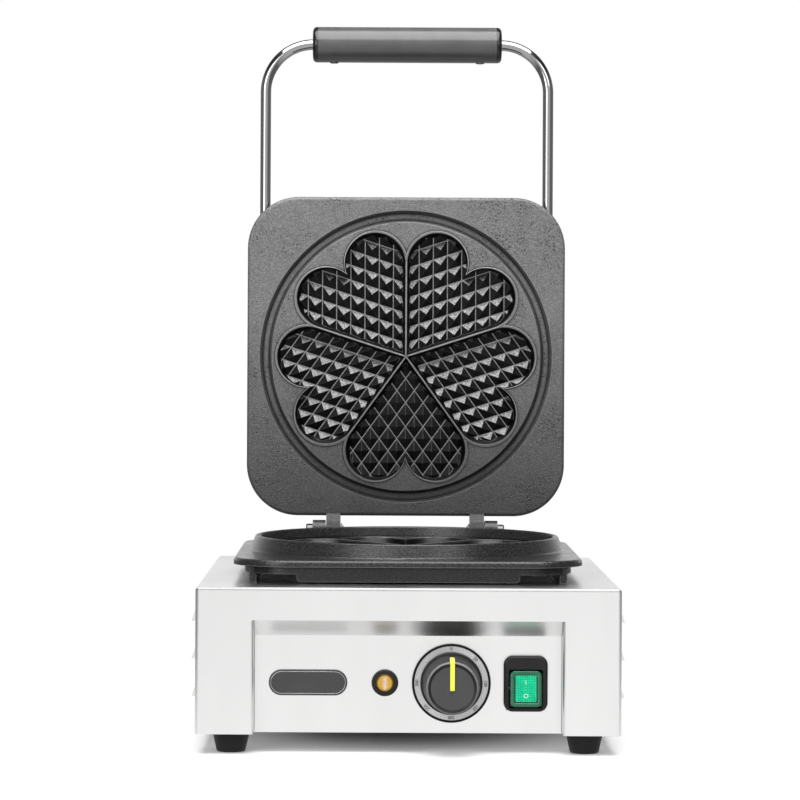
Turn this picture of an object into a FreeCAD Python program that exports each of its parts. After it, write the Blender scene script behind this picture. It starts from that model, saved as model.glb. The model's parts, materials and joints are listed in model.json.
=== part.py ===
import FreeCAD, Part
import Sketcher
import math
import os
import re

# Countertop waffle maker with two cast plates of five hearts, lid open.
# +X is to the right, +Y to the back and +Z up; the origin lies on the table under the middle.

doc = FreeCAD.newDocument("heart_waffle_maker")
sheet = doc.addObject("Spreadsheet::Sheet", "Sizes")

# Driving sizes in millimetres, angles in degrees, counts and shares, by the piece that they belong to.
SIZES = {
    "general": {
        "overrun": 0.6,
        "fit_gap": 0.2,
    },
    "housing": {
        "base_width": 280.0,
        "base_depth": 300.0,
        "body_height": 96.5,
        "sheet_thick": 1.2,
        "bend_round": 2.4,
        "lip_width": 12.0,
        "frame_side": 38.5,
        "frame_top": 21.6,
        "cutout_length": 170.0,
        "cutout_width": 200.0,
    },
    "louvres": {
        "louvre_rows": 3,
        "louvre_columns": 3,
        "louvre_length": 70.0,
        "louvre_step": 92.0,
        "louvre_pitch": 24.9,
        "louvre_rise": 9.0,
        "louvre_reach": 3.2,
        "louvre_start": 18.0,
        "louvre_low": 23.0,
    },
    "control panel": {
        "panel_recess": 13.0,
        "soffit_drop": 10.8,
        "control_rise": 33.0,
        "badge_place_share": -0.4714,
        "lamp_place_share": -0.1093,
        "knob_place_share": 0.2036,
        "switch_place_share": 0.5536,
    },
    "rear panel and bottom": {
        "gland_place_share": 0.5,
        "gland_rise": 38.0,
        "vent_count": 7,
        "vent_length": 70.0,
        "vent_width": 4.0,
        "vent_step": 14.0,
        "vent_end_share": 0.49,
        "screw_dia": 4.0,
        "screw_head_dia": 7.5,
        "screw_head": 2.4,
        "screw_length": 8.0,
        "lip_screw_inset": 30.0,
    },
    "feet": {
        "foot_height": 13.6,
        "foot_top_dia": 25.0,
        "foot_low_dia": 19.0,
        "foot_round": 1.6,
        "foot_inset_x": 23.0,
        "foot_inset_y": 22.0,
        "foot_bolt_dia": 5.0,
        "foot_head_dia": 9.0,
        "foot_head": 4.0,
        "foot_sink": 8.0,
        "foot_nut_dia": 9.2,
        "foot_nut": 4.0,
    },
    "plates": {
        "plate_width": 235.5,
        "plate_length": 236.5,
        "plate_corner": 38.0,
        "plate_setback": 25.0,
        "edge_round": 2.4,
    },
    "lower plate": {
        "plate_stand": 6.2,
        "flange_rise": 16.0,
        "flange_thick": 4.6,
        "body_inset": 7.5,
        "ring_height": 10.0,
        "ring_top_dia": 212.0,
        "ring_base_dia": 218.4,
        "ring_inner_dia": 204.0,
        "ring_draft": 0.6,
        "ring_round": 1.2,
        "ring_root": 2.0,
        "land_gap": 2.0,
        "belly_dia": 199.0,
        "belly_floor": 5.0,
        "drip_width": 149.0,
        "drip_clear": 1.0,
        "drip_thick": 6.0,
        "drip_round": 3.0,
        "rail_x": 104.0,
        "rail_thick": 5.0,
        "rail_length": 200.0,
        "post_dia": 16.0,
        "post_x": 58.0,
        "post_y": 98.0,
        "bolt_dia": 6.0,
        "bolt_head_dia": 11.0,
        "bolt_head": 4.0,
        "bolt_length": 10.0,
    },
    "heart wells": {
        "heart_count": 5,
        "heart_half_angle": 36.0,
        "heart_reach": 95.5,
        "heart_wall": 1.2,
        "lobe_radius": 22.55,
        "lobe_draft_share": 0.68,
        "well_depth": 9.0,
        "well_inset": 2.5,
        "rim_width": 1.5,
        "rim_rise": 0.7,
        "pyramid_pitch": 10.55,
        "pyramid_height": 4.2,
        "pyramid_gap": 0.6,
        "pyramid_lead": 1.0,
    },
    "hinge": {
        "lid_open_angle": 90.0,
        "hinge_offset": 10.3,
        "hinge_rise": 22.0,
        "face_drop": 1.7,
        "lug_radius": 7.0,
        "lug_round_share": 0.95,
        "lug_root": 14.0,
        "lid_lug_x": 48.0,
        "lid_lug_width": 10.5,
        "lug_gap": 0.5,
        "base_lug_width": 9.5,
        "rivet_dia": 6.0,
        "rivet_fit": 0.05,
        "rivet_head_dia": 8.4,
        "rivet_head": 5.0,
        "rivet_tail": 2.4,
        "clip_dia": 9.0,
        "clip_thick": 1.0,
        "clip_groove": 0.8,
        "stop_gap": 0.3,
    },
    "upper plate": {
        "lid_flange": 12.0,
        "lid_belly_dia": 188.0,
        "groove_gap": 0.4,
        "groove_draft": 2.0,
        "seat_gap": 0.3,
        "pillar_dia": 13.0,
        "pillar_x": 76.0,
        "pillar_y": 76.0,
        "boss_width": 13.0,
        "boss_length": 38.0,
        "boss_wall": 4.5,
    },
    "handle": {
        "handle_span": 211.0,
        "handle_reach": 114.6,
        "handle_bend": 35.5,
        "handle_insert": 55.0,
        "rod_dia": 8.0,
        "rod_gap": 0.1,
        "rod_depth": 17.0,
        "grip_dia": 26.6,
        "grip_length": 141.0,
        "grip_dome": 4.0,
        "grip_nose_dia": 14.0,
        "grip_round": 4.0,
        "grip_screw_x": 54.5,
        "grip_screw_dia": 3.0,
        "grip_head_dia": 6.4,
        "grip_head": 1.6,
        "grip_spot": 0.9,
        "set_screw_dia": 4.0,
        "set_screw_proud": 1.0,
    },
    "lid cover": {
        "cover_width": 194.0,
        "cover_length": 196.0,
        "cover_height": 28.0,
        "cover_corner": 26.0,
        "cover_draft": 6.0,
        "cover_round": 8.0,
        "cover_gland_x": 40.0,
        "cover_gland_y": 56.0,
    },
    "heating elements": {
        "element_dia": 7.0,
        "element_width": 130.0,
        "element_length": 120.0,
        "element_bend": 20.0,
        "element_tail_gap": 36.0,
        "element_tail": 22.0,
        "clamp_width": 24.0,
        "clamp_thick": 2.5,
        "clamp_overlap": 8.0,
        "clamp_post_dia": 18.0,
    },
    "heat shield and insulation": {
        "shield_width": 224.0,
        "shield_drop": 30.0,
        "shield_length": 190.0,
        "shield_lip": 10.0,
        "pad_width": 136.0,
        "pad_length": 120.0,
        "pad_corner": 12.0,
    },
    "dial and knob": {
        "dial_dia": 52.0,
        "dial_thick": 1.4,
        "dial_rim": 1.5,
        "dial_rim_rise": 1.0,
        "knob_skirt_dia": 41.0,
        "knob_skirt": 4.0,
        "knob_waist_dia": 38.5,
        "knob_face_dia": 34.0,
        "knob_height": 31.0,
        "knob_dish": 0.6,
        "knob_land": 1.5,
        "knob_round": 1.0,
        "knob_gap": 0.5,
        "pointer_width": 3.0,
        "pointer_depth": 1.6,
        "pointer_proud": 0.35,
        "pointer_past": 1.6,
        "pointer_side": 15.0,
        "shaft_dia": 6.0,
        "shaft_fit": 0.05,
        "shaft_grip": 14.0,
        "shaft_flat": 1.4,
    },
    "thermostat": {
        "stat_width": 36.0,
        "stat_height": 46.0,
        "stat_depth": 28.0,
        "stat_neck_dia": 10.0,
        "shaft_sink": 6.0,
        "bulb_dia": 6.0,
        "bulb_length": 70.0,
        "capillary_dia": 2.0,
        "capillary_bend": 10.0,
        "capillary_back": 56.0,
        "bulb_lead": 16.0,
    },
    "lamp": {
        "lamp_dia": 17.6,
        "lamp_rim": 2.6,
        "lamp_rim_round": 1.2,
        "lens_dia": 12.0,
        "lens_rise": 2.2,
        "lens_seat": 1.0,
        "lamp_barrel_dia": 13.0,
        "lamp_barrel_wall": 1.2,
        "lamp_barrel": 10.0,
        "lamp_body_length": 20.0,
        "lamp_nut_dia": 17.0,
        "lamp_nut": 4.0,
    },
    "switch": {
        "switch_width": 29.0,
        "switch_height": 36.8,
        "switch_corner": 6.0,
        "switch_rim": 4.2,
        "switch_rim_round": 1.8,
        "window_width": 22.4,
        "window_height": 25.4,
        "window_drop": 3.2,
        "window_corner": 1.5,
        "switch_wall": 1.4,
        "switch_depth": 24.0,
        "switch_floor": 2.0,
        "rocker_gap": 0.7,
        "rocker_high": 8.8,
        "rocker_low": 5.6,
        "rocker_slope": 4.0,
        "rocker_chin": 1.2,
        "rocker_sink": 8.0,
        "rocker_taper": 3.1,
        "rocker_round": 1.2,
        "axle_rise": 1.0,
        "axle_dia": 3.0,
        "axle_fit": 0.05,
        "blade_width": 6.3,
        "blade_thick": 0.8,
        "blade_length": 9.0,
        "blade_spread": 13.0,
    },
    "badge": {
        "badge_width": 51.8,
        "badge_height": 17.0,
        "badge_thick": 1.4,
        "badge_round": 0.5,
        "badge_end_share": 0.49,
    },
    "glands": {
        "gland_dia": 22.0,
        "gland_hex": 5.5,
        "gland_dome": 5.5,
        "gland_round": 3.0,
        "gland_nose_dia": 16.0,
        "gland_bore": 9.0,
        "gland_thread_dia": 16.0,
        "gland_thread": 12.0,
        "gland_nut_dia": 24.0,
        "gland_nut": 5.0,
    },
    "terminal block": {
        "block_width": 46.0,
        "block_depth": 22.0,
        "block_height": 20.0,
        "block_holes": 3,
        "block_hole_dia": 5.0,
        "block_step": 14.0,
        "block_setback": 60.0,
    },
}

# Places and levels worked out from the sizes.
PLACES = {
    "half_width": "base_width / 2",
    "front_y": "0 - base_depth / 2 + centre_shift",
    "rear_y": "front_y + base_depth",
    "knob_overhang": "knob_top + pointer_proud - panel_recess",
    "lid_overhang": "plate_setback + plate_length + hinge_offset - face_drop + lid_depth - base_depth",
    "lid_depth": "lid_flange + cover_height + gland_hex + gland_dome",
    "centre_shift": "(knob_overhang - lid_overhang) / 2",
    "body_low": "foot_height",
    "base_top": "foot_height + body_height",
    "frame_half": "half_width - frame_side",
    "cheek_half": "frame_half + sheet_thick + bend_round",
    "window_top": "base_top - frame_top",
    "panel_y": "front_y + panel_recess",
    "soffit_low": "window_top - soffit_drop",
    "soffit_run": "panel_recess - sheet_thick",
    "soffit_lift": "sheet_thick * sqrt(soffit_run ^ 2 + soffit_drop ^ 2) / soffit_run",
    "soffit_slope": "soffit_drop / soffit_run",
    "control_z": "body_low + control_rise",
    "badge_x": "badge_place_share * half_width",
    "lamp_x": "lamp_place_share * half_width",
    "knob_x": "knob_place_share * half_width",
    "switch_x": "switch_place_share * half_width",
    "gland_x": "0 - gland_place_share * half_width",
    "link_x": "gland_place_share * half_width",
    "plate_y": "front_y + plate_setback + plate_length / 2",
    "half_plate": "plate_length / 2",
    "hinge_y": "plate_y + half_plate + hinge_offset",
    "hinge_z": "base_top + hinge_rise",
    "lid_open_turn": "180 - lid_open_angle",
    "lid_centre": "hinge_offset + half_plate",
    "flange_low": "flange_rise - flange_thick",
    "ring_top": "flange_rise + ring_height",
    "face_rise": "hinge_rise - face_drop",
    "land": "face_rise - land_gap",
    "belly_low": "land - well_depth - belly_floor",
    "groove_depth": "ring_top - face_rise + seat_gap",
    "groove_outer": "ring_top_dia / 2 + groove_gap",
    "groove_inner": "ring_inner_dia / 2 - groove_gap",
    "groove_mouth": "groove_outer + groove_draft",
    "groove_edge": "groove_inner - groove_draft",
    "base_lug_x": "lid_lug_x + lid_lug_width + lug_gap",
    "base_lug_end": "base_lug_x + base_lug_width",
    "rivet_bore": "rivet_dia + 2 * rivet_fit",
    "lid_back": "face_drop - lid_flange",
    "belly_back": "face_drop - well_depth - belly_floor",
    "cover_back": "lid_back - cover_height",
    "cover_inside": "cover_back + sheet_thick",
    "handle_half": "handle_span / 2",
    "grip_y": "hinge_offset + plate_length + handle_reach",
    "rod_end": "hinge_offset + plate_length - handle_insert",
    "rod_z": "0 - rod_depth",
    "upper_element_z": "belly_back - element_dia / 2",
    "upper_clamp_z": "belly_back - element_dia",
    "lower_element_z": "base_top + belly_low - element_dia / 2",
    "lower_clamp_z": "base_top + belly_low - element_dia",
    "knob_seat": "dial_thick + knob_gap",
    "knob_top": "knob_seat + knob_height",
    "stat_back": "panel_y + sheet_thick + stat_depth",
    "capillary_y": "stat_back + capillary_back",
    "bulb_z": "base_top + belly_low - bulb_dia / 2",
    "lug_round": "lug_radius * lug_round_share",
    "base_hinge_y": "half_plate + hinge_offset",
    "boss_back": "rod_z - rod_dia / 2 - boss_wall",
    "boss_low": "rod_end - boss_wall",
    "boss_high": "boss_low + boss_length",
    "set_screw_y": "boss_low + boss_length / 2",
    "lens_floor": "lamp_rim - lens_seat",
    "lamp_bore": "lamp_barrel_dia / 2 - lamp_barrel_wall",
    "clip_seat": "lid_lug_x - fit_gap - clip_thick",
    "rocker_half": "window_height / 2 - rocker_gap",
    "window_y": "0 - window_drop",
    "gland_z": "body_low + gland_rise",
    "block_y": "rear_y - block_setback",
    "inner_half": "half_width - sheet_thick - fit_gap",
    "cover_low_y": "front_y + sheet_thick + fit_gap",
    "cover_notch_y": "panel_y + sheet_thick + fit_gap",
    "cover_rear_y": "rear_y - sheet_thick - fit_gap",
    "notch_half": "frame_half + sheet_thick + fit_gap",
}

for heading, sizes in SIZES.items():
    row = sum(len(group) + 1 for group in list(SIZES.values())[:list(SIZES).index(heading)]) + 1
    sheet.set(f"A{row}", heading)
    for step, (alias, size) in enumerate(sizes.items(), 1):
        sheet.set(f"A{row + step}", alias)
        sheet.set(f"B{row + step}", str(size))
        sheet.setAlias(f"B{row + step}", alias)
doc.recompute()

ALIASES = {alias for sizes in SIZES.values() for alias in sizes}
NAME = re.compile(r"[a-z_][a-z_0-9]*")
CORNER = Sketcher.Constraint
XAXIS = FreeCAD.Vector(1, 0, 0)
ZAXIS = FreeCAD.Vector(0, 0, 1)
FULL_TURN = 360.0
FLAT_SHARE = 0.95

PIECES = []


def formula(text):
    """A sum written in size and place names, as an expression on the sheet."""
    def swap(found):
        name = found.group(0)
        if name in PLACES:
            return "(" + formula(PLACES[name]) + ")"
        return "Sizes." + name if name in ALIASES else name
    return NAME.sub(swap, str(text))


def value(text):
    """The same sum as a number."""
    return float(sheet.evalExpression(formula(text).replace("Sizes.", "")))


def bind(thing, prop, text):
    """Ties one property of an object to the sheet."""
    thing.setExpression(prop, formula(text))


def piece(thing, label):
    """Names an object as one piece of the assembly."""
    thing.Label = label
    PIECES.append(thing)
    return thing


def place(thing, x="0", y="0", z="0", turn="0", axis=XAXIS):
    """Sets an object down at a point, turned about one axis."""
    thing.Placement = FreeCAD.Placement(FreeCAD.Vector(), FreeCAD.Rotation(axis, value(turn)))
    for prop, text in (("x", x), ("y", y), ("z", z)):
        bind(thing, "Placement.Base." + prop, text)
    if turn != "0":
        bind(thing, "Placement.Rotation.Angle", turn)
    return thing


def on_lid(thing):
    """Hangs an object modelled about the hinge axis on the open lid."""
    return place(thing, "0", "hinge_y", "hinge_z", "lid_open_turn")


def on_panel(thing, x, z="control_z"):
    """Sets an object whose axis points out of the control panel on the panel's face."""
    return place(thing, x, "panel_y", z, "90")


def body(name):
    return doc.addObject("PartDesign::Body", name)


def sketch(owner, name, plane="XY_Plane", spot=("0", "0", "0")):
    """An empty sketch on one of a body's own planes, with its origin moved to a spot in the body."""
    base = [item for item in owner.Origin.OriginFeatures if item.Role == plane][0]
    made = owner.newObject("Sketcher::SketchObject", name)
    made.AttachmentSupport = [(base, "")]
    made.MapMode = "FlatFace"
    x, y, z = spot
    moved = {"XY_Plane": (x, y, z), "XZ_Plane": (x, z, f"0 - ({y})"), "YZ_Plane": (y, z, x)}[plane]
    for prop, text in zip("xyz", moved):
        bind(made, "AttachmentOffset.Base." + prop, text)
    return made


def hold(made, geometry, end, point):
    """Ties one point of a sketch to its two coordinates."""
    for kind, text in zip(("DistanceX", "DistanceY"), point):
        index = made.addConstraint(CORNER(kind, -1, 1, geometry, end, value(text)))
        bind(made, f"Constraints[{index}]", text)


def trace(made, points, closed=True):
    """Straight runs through corner points, each (x, y) or (x, y, radius), held to the sheet."""
    corners = [FreeCAD.Vector(value(point[0]), value(point[1]), 0) for point in points]
    count = len(corners)
    starts, ends, arcs = list(corners), corners[1:] + corners[:1], {}
    for index, point in enumerate(points):
        if len(point) < 3:
            continue
        corner, radius = corners[index], value(point[2])
        back = (corners[index - 1] - corner).normalize()
        ahead = (corners[(index + 1) % count] - corner).normalize()
        half = back.getAngle(ahead) / 2
        middle = (back + ahead).normalize()
        ends[index - 1] = corner + back * (radius / math.tan(half))
        starts[index] = corner + ahead * (radius / math.tan(half))
        bulge = corner + middle * (radius / math.sin(half) - radius)
        bend = (ends[index - 1], bulge, starts[index])
        first = 1 if back.cross(ahead).z < 0 else 2
        arcs[index] = (Part.Arc(*bend[::3 - 2 * first]), first)
    runs = count if closed else count - 1
    lines = [made.addGeometry(Part.LineSegment(starts[i], ends[i]), False) for i in range(runs)]
    for index, point in enumerate(points):
        before = lines[index - 1] if closed or index else None
        after = lines[index] if index < runs else None
        if index in arcs:
            bend, first = arcs[index]
            arc = made.addGeometry(bend, False)
            mark = made.addGeometry(Part.Point(corners[index]), True)
            made.addConstraint(CORNER("Tangent", before, 2, arc, first))
            made.addConstraint(CORNER("Tangent", after, 1, arc, 3 - first))
            made.addConstraint(CORNER("PointOnObject", mark, 1, before))
            made.addConstraint(CORNER("PointOnObject", mark, 1, after))
            index = made.addConstraint(CORNER("Radius", arc, value(point[2])))
            bind(made, f"Constraints[{index}]", point[2])
            hold(made, mark, 1, point)
        elif after is None:
            hold(made, before, 2, point)
        else:
            if before is not None:
                made.addConstraint(CORNER("Coincident", before, 2, after, 1))
            hold(made, after, 1, point)
    return made


def circle(made, dia, x="0", y="0"):
    """A circle held by its diameter and its centre."""
    centre = FreeCAD.Vector(value(x), value(y), 0)
    round_edge = made.addGeometry(Part.Circle(centre, ZAXIS, value(dia) / 2), False)
    index = made.addConstraint(CORNER("Diameter", round_edge, value(dia)))
    bind(made, f"Constraints[{index}]", dia)
    hold(made, round_edge, 3, (x, y))
    return made


def box_points(width, height, radius=None, x="0", y="0"):
    """The four corners of a rectangle about a point, rounded if a radius is given."""
    signs = (("-", "-"), ("+", "-"), ("+", "+"), ("-", "+"))
    spots = [(f"{x} {a} ({width}) / 2", f"{y} {b} ({height}) / 2") for a, b in signs]
    return [spot + (radius,) for spot in spots] if radius else spots


def pad(owner, profile, length, reverse=False, taper=None):
    made = owner.newObject("PartDesign::Pad", profile.Name + "Pad")
    made.Profile = (profile, [""])
    bind(made, "Length", length)
    made.Reversed = reverse
    if taper:
        bind(made, "TaperAngle", taper)
    doc.recompute()
    return made


def pocket(owner, profile, length, reverse=False):
    """Cuts a profile into a body, and makes sure that it takes something away."""
    before = owner.Shape.Volume
    made = owner.newObject("PartDesign::Pocket", profile.Name + "Pocket")
    made.Profile = (profile, [""])
    bind(made, "Length", length)
    made.Reversed = reverse
    doc.recompute()
    if owner.Shape.Volume >= before:
        raise ValueError(f"{profile.Name} cuts nothing")
    return made


def spin(owner, profile, axis="V_Axis", kind="PartDesign::Revolution"):
    """Turns a profile about one of its sketch's axes; a Groove takes away."""
    made = owner.newObject(kind, profile.Name + "Turn")
    made.Profile = (profile, [""])
    made.ReferenceAxis = (profile, [axis])
    made.Angle = FULL_TURN
    doc.recompute()
    return made


def rounded(owner, radius, wanted, kind="PartDesign::Fillet"):
    """Rounds every edge of a body's newest feature that passes a test."""
    base = owner.Tip
    names = [f"Edge{i}" for i, edge in enumerate(base.Shape.Edges, 1) if wanted(edge)]
    made = owner.newObject(kind, base.Name + "Round")
    made.Base = (base, names)
    bind(made, "Radius", radius)
    doc.recompute()
    return made


def hollow(owner, wall, open_side):
    """Leaves a wall of a body's newest feature, open at the faces whose normals pass a test."""
    base = owner.Tip
    names = [f"Face{i}" for i, face in enumerate(base.Shape.Faces, 1) if open_side(face.normalAt(0, 0))]
    made = owner.newObject("PartDesign::Thickness", base.Name + "Wall")
    made.Base = (base, names)
    bind(made, "Value", wall)
    made.Reversed = True
    doc.recompute()
    return made


def mirror(owner, features, plane="YZ_Plane"):
    """Repeats features on the other side of one of a body's planes."""
    made = owner.newObject("PartDesign::Mirrored", features[-1].Name + "Twin")
    made.Originals = features
    made.MirrorPlane = ([item for item in owner.Origin.OriginFeatures if item.Role == plane][0], [""])
    owner.Tip = made
    doc.recompute()
    return made


def row_of(owner, features, axis, count, step):
    """Repeats features in a straight row along one of a body's axes."""
    made = owner.newObject("PartDesign::LinearPattern", features[-1].Name + "Row")
    made.Originals = features
    made.Direction = ([item for item in owner.Origin.OriginFeatures if item.Role == axis][0], [""])
    made.Mode = "Spacing"
    bind(made, "Offset", step)
    bind(made, "Occurrences", count)
    owner.Tip = made
    doc.recompute()
    return made


def turned(label, points, plane="XZ_Plane", spots=(("0", "0", "0"),), axis="V_Axis"):
    """A turned piece, or a set of alike ones, from half a section of (radius, height) points."""
    made = body(label)
    for number, spot in enumerate(spots):
        profile = sketch(made, f"{label}_section_{number}", plane, spot)
        spin(made, trace(profile, points), axis)
    return piece(made, label)


def corners_of(x, y, z="0"):
    """Four spots alike about the middle."""
    return [(f"{a}({x})", f"{b}({y})", z) for a in ("0 - ", "") for b in ("0 - ", "")]


def level(edge, height, tolerance="fit_gap"):
    """True for an edge that lies flat at a height."""
    box = edge.BoundBox
    return max(abs(box.ZMin - value(height)), abs(box.ZMax - value(height))) < value(tolerance)


def upright(edge):
    box = edge.BoundBox
    return box.ZLength > value("fit_gap") and max(box.XLength, box.YLength) < value("fit_gap")


def screw_points(dia, head_dia, head, length):
    """Half a section of a screw: the head above its seat at zero, the shank below."""
    return [
        ("0", f"0 - {length}"),
        (f"{dia} / 2", f"0 - {length}"),
        (f"{dia} / 2", "0"),
        (f"{head_dia} / 2", "0"),
        (f"{head_dia} / 2", head, f"{head} / 2"),
        ("0", head),
    ]


# Housing: one folded sheet with a framed front, louvred sides and a cut-out for the lower plate.

def rear_screw_spots():
    return corners_of("half_width - sheet_thick - lip_width / 2", "body_height / 2 - lip_screw_inset")


def bottom_screw_spots():
    return corners_of("half_width - sheet_thick - lip_width / 2", "base_depth / 4")


def make_base_shell():
    shell = body("base_shell")
    outline = sketch(shell, "shell_outline", "XY_Plane", ("0", "front_y + base_depth / 2", "body_low"))
    pad(shell, trace(outline, box_points("base_width", "base_depth")), "body_height")
    front = value("front_y")
    rear = value("rear_y")
    rounded(shell, "bend_round", lambda edge: (
        (level(edge, "base_top") and edge.BoundBox.YMin < rear - value("bend_round"))
        or (upright(edge) and edge.BoundBox.YMax < front + value("bend_round"))))
    hollow(shell, "sheet_thick", lambda normal: normal.z < -FLAT_SHARE or normal.y > FLAT_SHARE)

    window = sketch(shell, "front_window", "XZ_Plane", ("0", "front_y - overrun", "body_low - overrun"))
    points = [
        ("0 - cheek_half", "0"),
        ("cheek_half", "0"),
        ("cheek_half", "window_top - body_low + overrun"),
        ("0 - cheek_half", "window_top - body_low + overrun"),
    ]
    pocket(shell, trace(window, points), "sheet_thick + 2 * overrun", reverse=False)

    cheek = sketch(shell, "window_cheek", "XY_Plane", ("frame_half", "front_y", "body_low"))
    points = [
        ("0", "0", "bend_round"),
        ("sheet_thick + bend_round", "0"),
        ("sheet_thick + bend_round", "sheet_thick"),
        ("sheet_thick", "sheet_thick"),
        ("sheet_thick", "panel_recess + sheet_thick"),
        ("0", "panel_recess + sheet_thick"),
    ]
    side = pad(shell, trace(cheek, points), "window_top - body_low")
    mirror(shell, [side])

    lip = sketch(shell, "bottom_lip", "XY_Plane", ("0", "0", "body_low + sheet_thick + fit_gap"))
    points = [
        ("half_width - sheet_thick - lip_width", "front_y + sheet_thick"),
        ("half_width - sheet_thick / 2", "front_y + sheet_thick"),
        ("half_width - sheet_thick / 2", "rear_y - sheet_thick - fit_gap"),
        ("half_width - sheet_thick - lip_width", "rear_y - sheet_thick - fit_gap"),
    ]
    side = pad(shell, trace(lip, points), "sheet_thick")
    mirror(shell, [side])
    lip = sketch(shell, "rear_lip", "XY_Plane", ("0", "0", "body_low + sheet_thick + fit_gap"))
    points = [
        ("half_width - sheet_thick - lip_width", "rear_y - 2 * sheet_thick - fit_gap"),
        ("half_width - sheet_thick / 2", "rear_y - 2 * sheet_thick - fit_gap"),
        ("half_width - sheet_thick / 2", "rear_y - sheet_thick - fit_gap"),
        ("half_width - sheet_thick - lip_width", "rear_y - sheet_thick - fit_gap"),
    ]
    side = pad(shell, trace(lip, points), "body_height - 2 * sheet_thick - fit_gap")
    mirror(shell, [side])

    holes = sketch(shell, "rear_lip_holes", "XZ_Plane",
                   ("0", "rear_y - lip_width / 2", "body_low + body_height / 2"))
    for x, z, _ in rear_screw_spots():
        circle(holes, "screw_dia + 2 * fit_gap", x, z)
    pocket(shell, holes, "lip_width / 2")
    holes = sketch(shell, "bottom_lip_holes", "XY_Plane", ("0", "centre_shift", "body_low + lip_width / 2"))
    for x, y, _ in bottom_screw_spots():
        circle(holes, "screw_dia + 2 * fit_gap", x, y)
    pocket(shell, holes, "lip_width / 2")

    hole = sketch(shell, "top_cutout", "XY_Plane", ("0", "plate_y", "base_top + overrun"))
    points = box_points("cutout_width", "cutout_length", "plate_corner / 2")
    pocket(shell, trace(hole, points), "sheet_thick + 2 * overrun")
    bolts = sketch(shell, "plate_bolt_holes", "XY_Plane", ("0", "plate_y", "base_top + overrun"))
    for x, y, _ in corners_of("post_x", "post_y"):
        circle(bolts, "bolt_dia + 2 * fit_gap", x, y)
    pocket(shell, bolts, "sheet_thick + 2 * overrun")
    add_louvres(shell)
    return piece(shell, "base_shell")


def add_louvres(shell):
    """Hooded slots in both side walls, open towards the table."""
    start = "front_y + louvre_start"
    foot = "body_low + louvre_low"
    hood = sketch(shell, "louvre_hood", "XZ_Plane", ("half_width", start, foot))
    side = pad(shell, trace(hood, [
        ("0 - sheet_thick / 2", "0"),
        ("louvre_reach", "0"),
        ("0", "louvre_rise"),
        ("0 - sheet_thick / 2", "louvre_rise"),
    ]), "louvre_length", reverse=True)
    slot = sketch(shell, "louvre_slot", "XZ_Plane", ("half_width", start + " + sheet_thick", foot))
    void = pocket(shell, trace(slot, [
        ("0 - sheet_thick - overrun", "0"),
        ("louvre_reach - sheet_thick", "0"),
        ("0 - sheet_thick - overrun", "louvre_rise * (1 + overrun / louvre_reach)"),
    ]), "louvre_length - 2 * sheet_thick", reverse=False)
    grid = shell.newObject("PartDesign::MultiTransform", "louvre_grid")
    grid.Originals = [side, void]
    planes = {item.Role: item for item in shell.Origin.OriginFeatures}
    moves = []
    for name, axis, count, step in (("rows", "Z_Axis", "louvre_rows", "louvre_pitch"),
                                    ("columns", "Y_Axis", "louvre_columns", "louvre_step")):
        move = shell.newObject("PartDesign::LinearPattern", "louvre_" + name)
        move.Direction = (planes[axis], [""])
        move.Mode = "Spacing"
        bind(move, "Offset", step)
        bind(move, "Occurrences", count)
        moves.append(move)
    twin = shell.newObject("PartDesign::Mirrored", "louvre_sides")
    twin.MirrorPlane = (planes["YZ_Plane"], [""])
    grid.Transformations = moves + [twin]
    shell.Tip = grid
    doc.recompute()


# Control panel: a bent sheet set back in the front frame, with a sloping soffit above it.

def make_control_panel():
    panel = body("control_panel")
    bend = sketch(panel, "panel_bend", "YZ_Plane", ("0 - frame_half + fit_gap", "front_y", "0"))
    pad(panel, trace(bend, [
        ("panel_recess", "body_low"),
        ("panel_recess", "soffit_low"),
        ("sheet_thick", "window_top"),
        ("sheet_thick", "window_top + soffit_lift"),
        ("panel_recess + sheet_thick", "soffit_low + soffit_lift - sheet_thick * soffit_slope"),
        ("panel_recess + sheet_thick", "body_low"),
    ]), "2 * frame_half - 2 * fit_gap")
    holes = sketch(panel, "panel_holes", "XZ_Plane", ("0", "panel_y - overrun", "control_z"))
    circle(holes, "lamp_barrel_dia + 2 * fit_gap", "lamp_x")
    circle(holes, "stat_neck_dia + 2 * fit_gap", "knob_x")
    sides = "2 * switch_wall + 2 * fit_gap"
    trace(holes, box_points(f"window_width + {sides}", f"window_height + {sides}", None, "switch_x", "window_y"))
    pocket(panel, holes, "sheet_thick + 2 * overrun")
    return piece(panel, "control_panel")


def make_rear_panel():
    panel = body("rear_panel")
    outline = sketch(panel, "rear_outline", "XZ_Plane", ("0", "rear_y", "0"))
    pad(panel, trace(outline, [
        ("0 - inner_half", "body_low"),
        ("inner_half", "body_low"),
        ("inner_half", "base_top - sheet_thick - fit_gap", "bend_round"),
        ("0 - inner_half", "base_top - sheet_thick - fit_gap", "bend_round"),
    ]), "sheet_thick")
    holes = sketch(panel, "rear_holes", "XZ_Plane", ("0", "rear_y - sheet_thick - overrun", "0"))
    for x in ("gland_x", "link_x"):
        circle(holes, "gland_thread_dia + 2 * fit_gap", x, "gland_z")
    for x, z, _ in rear_screw_spots():
        circle(holes, "screw_dia + 2 * fit_gap", x, f"body_low + body_height / 2 + {z}")
    pocket(panel, holes, "sheet_thick + 2 * overrun")
    slot = sketch(panel, "rear_vent", "XZ_Plane", ("0", "rear_y - sheet_thick - overrun", "gland_z"))
    first = "0 - vent_step * (vent_count - 1) / 2"
    points = box_points("vent_width", "vent_length / 2", "vent_width * vent_end_share", first, "vent_length / 4")
    row_of(panel, [pocket(panel, trace(slot, points), "sheet_thick + 2 * overrun")],
           "X_Axis", "vent_count", "vent_step")
    return piece(panel, "rear_panel")


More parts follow.
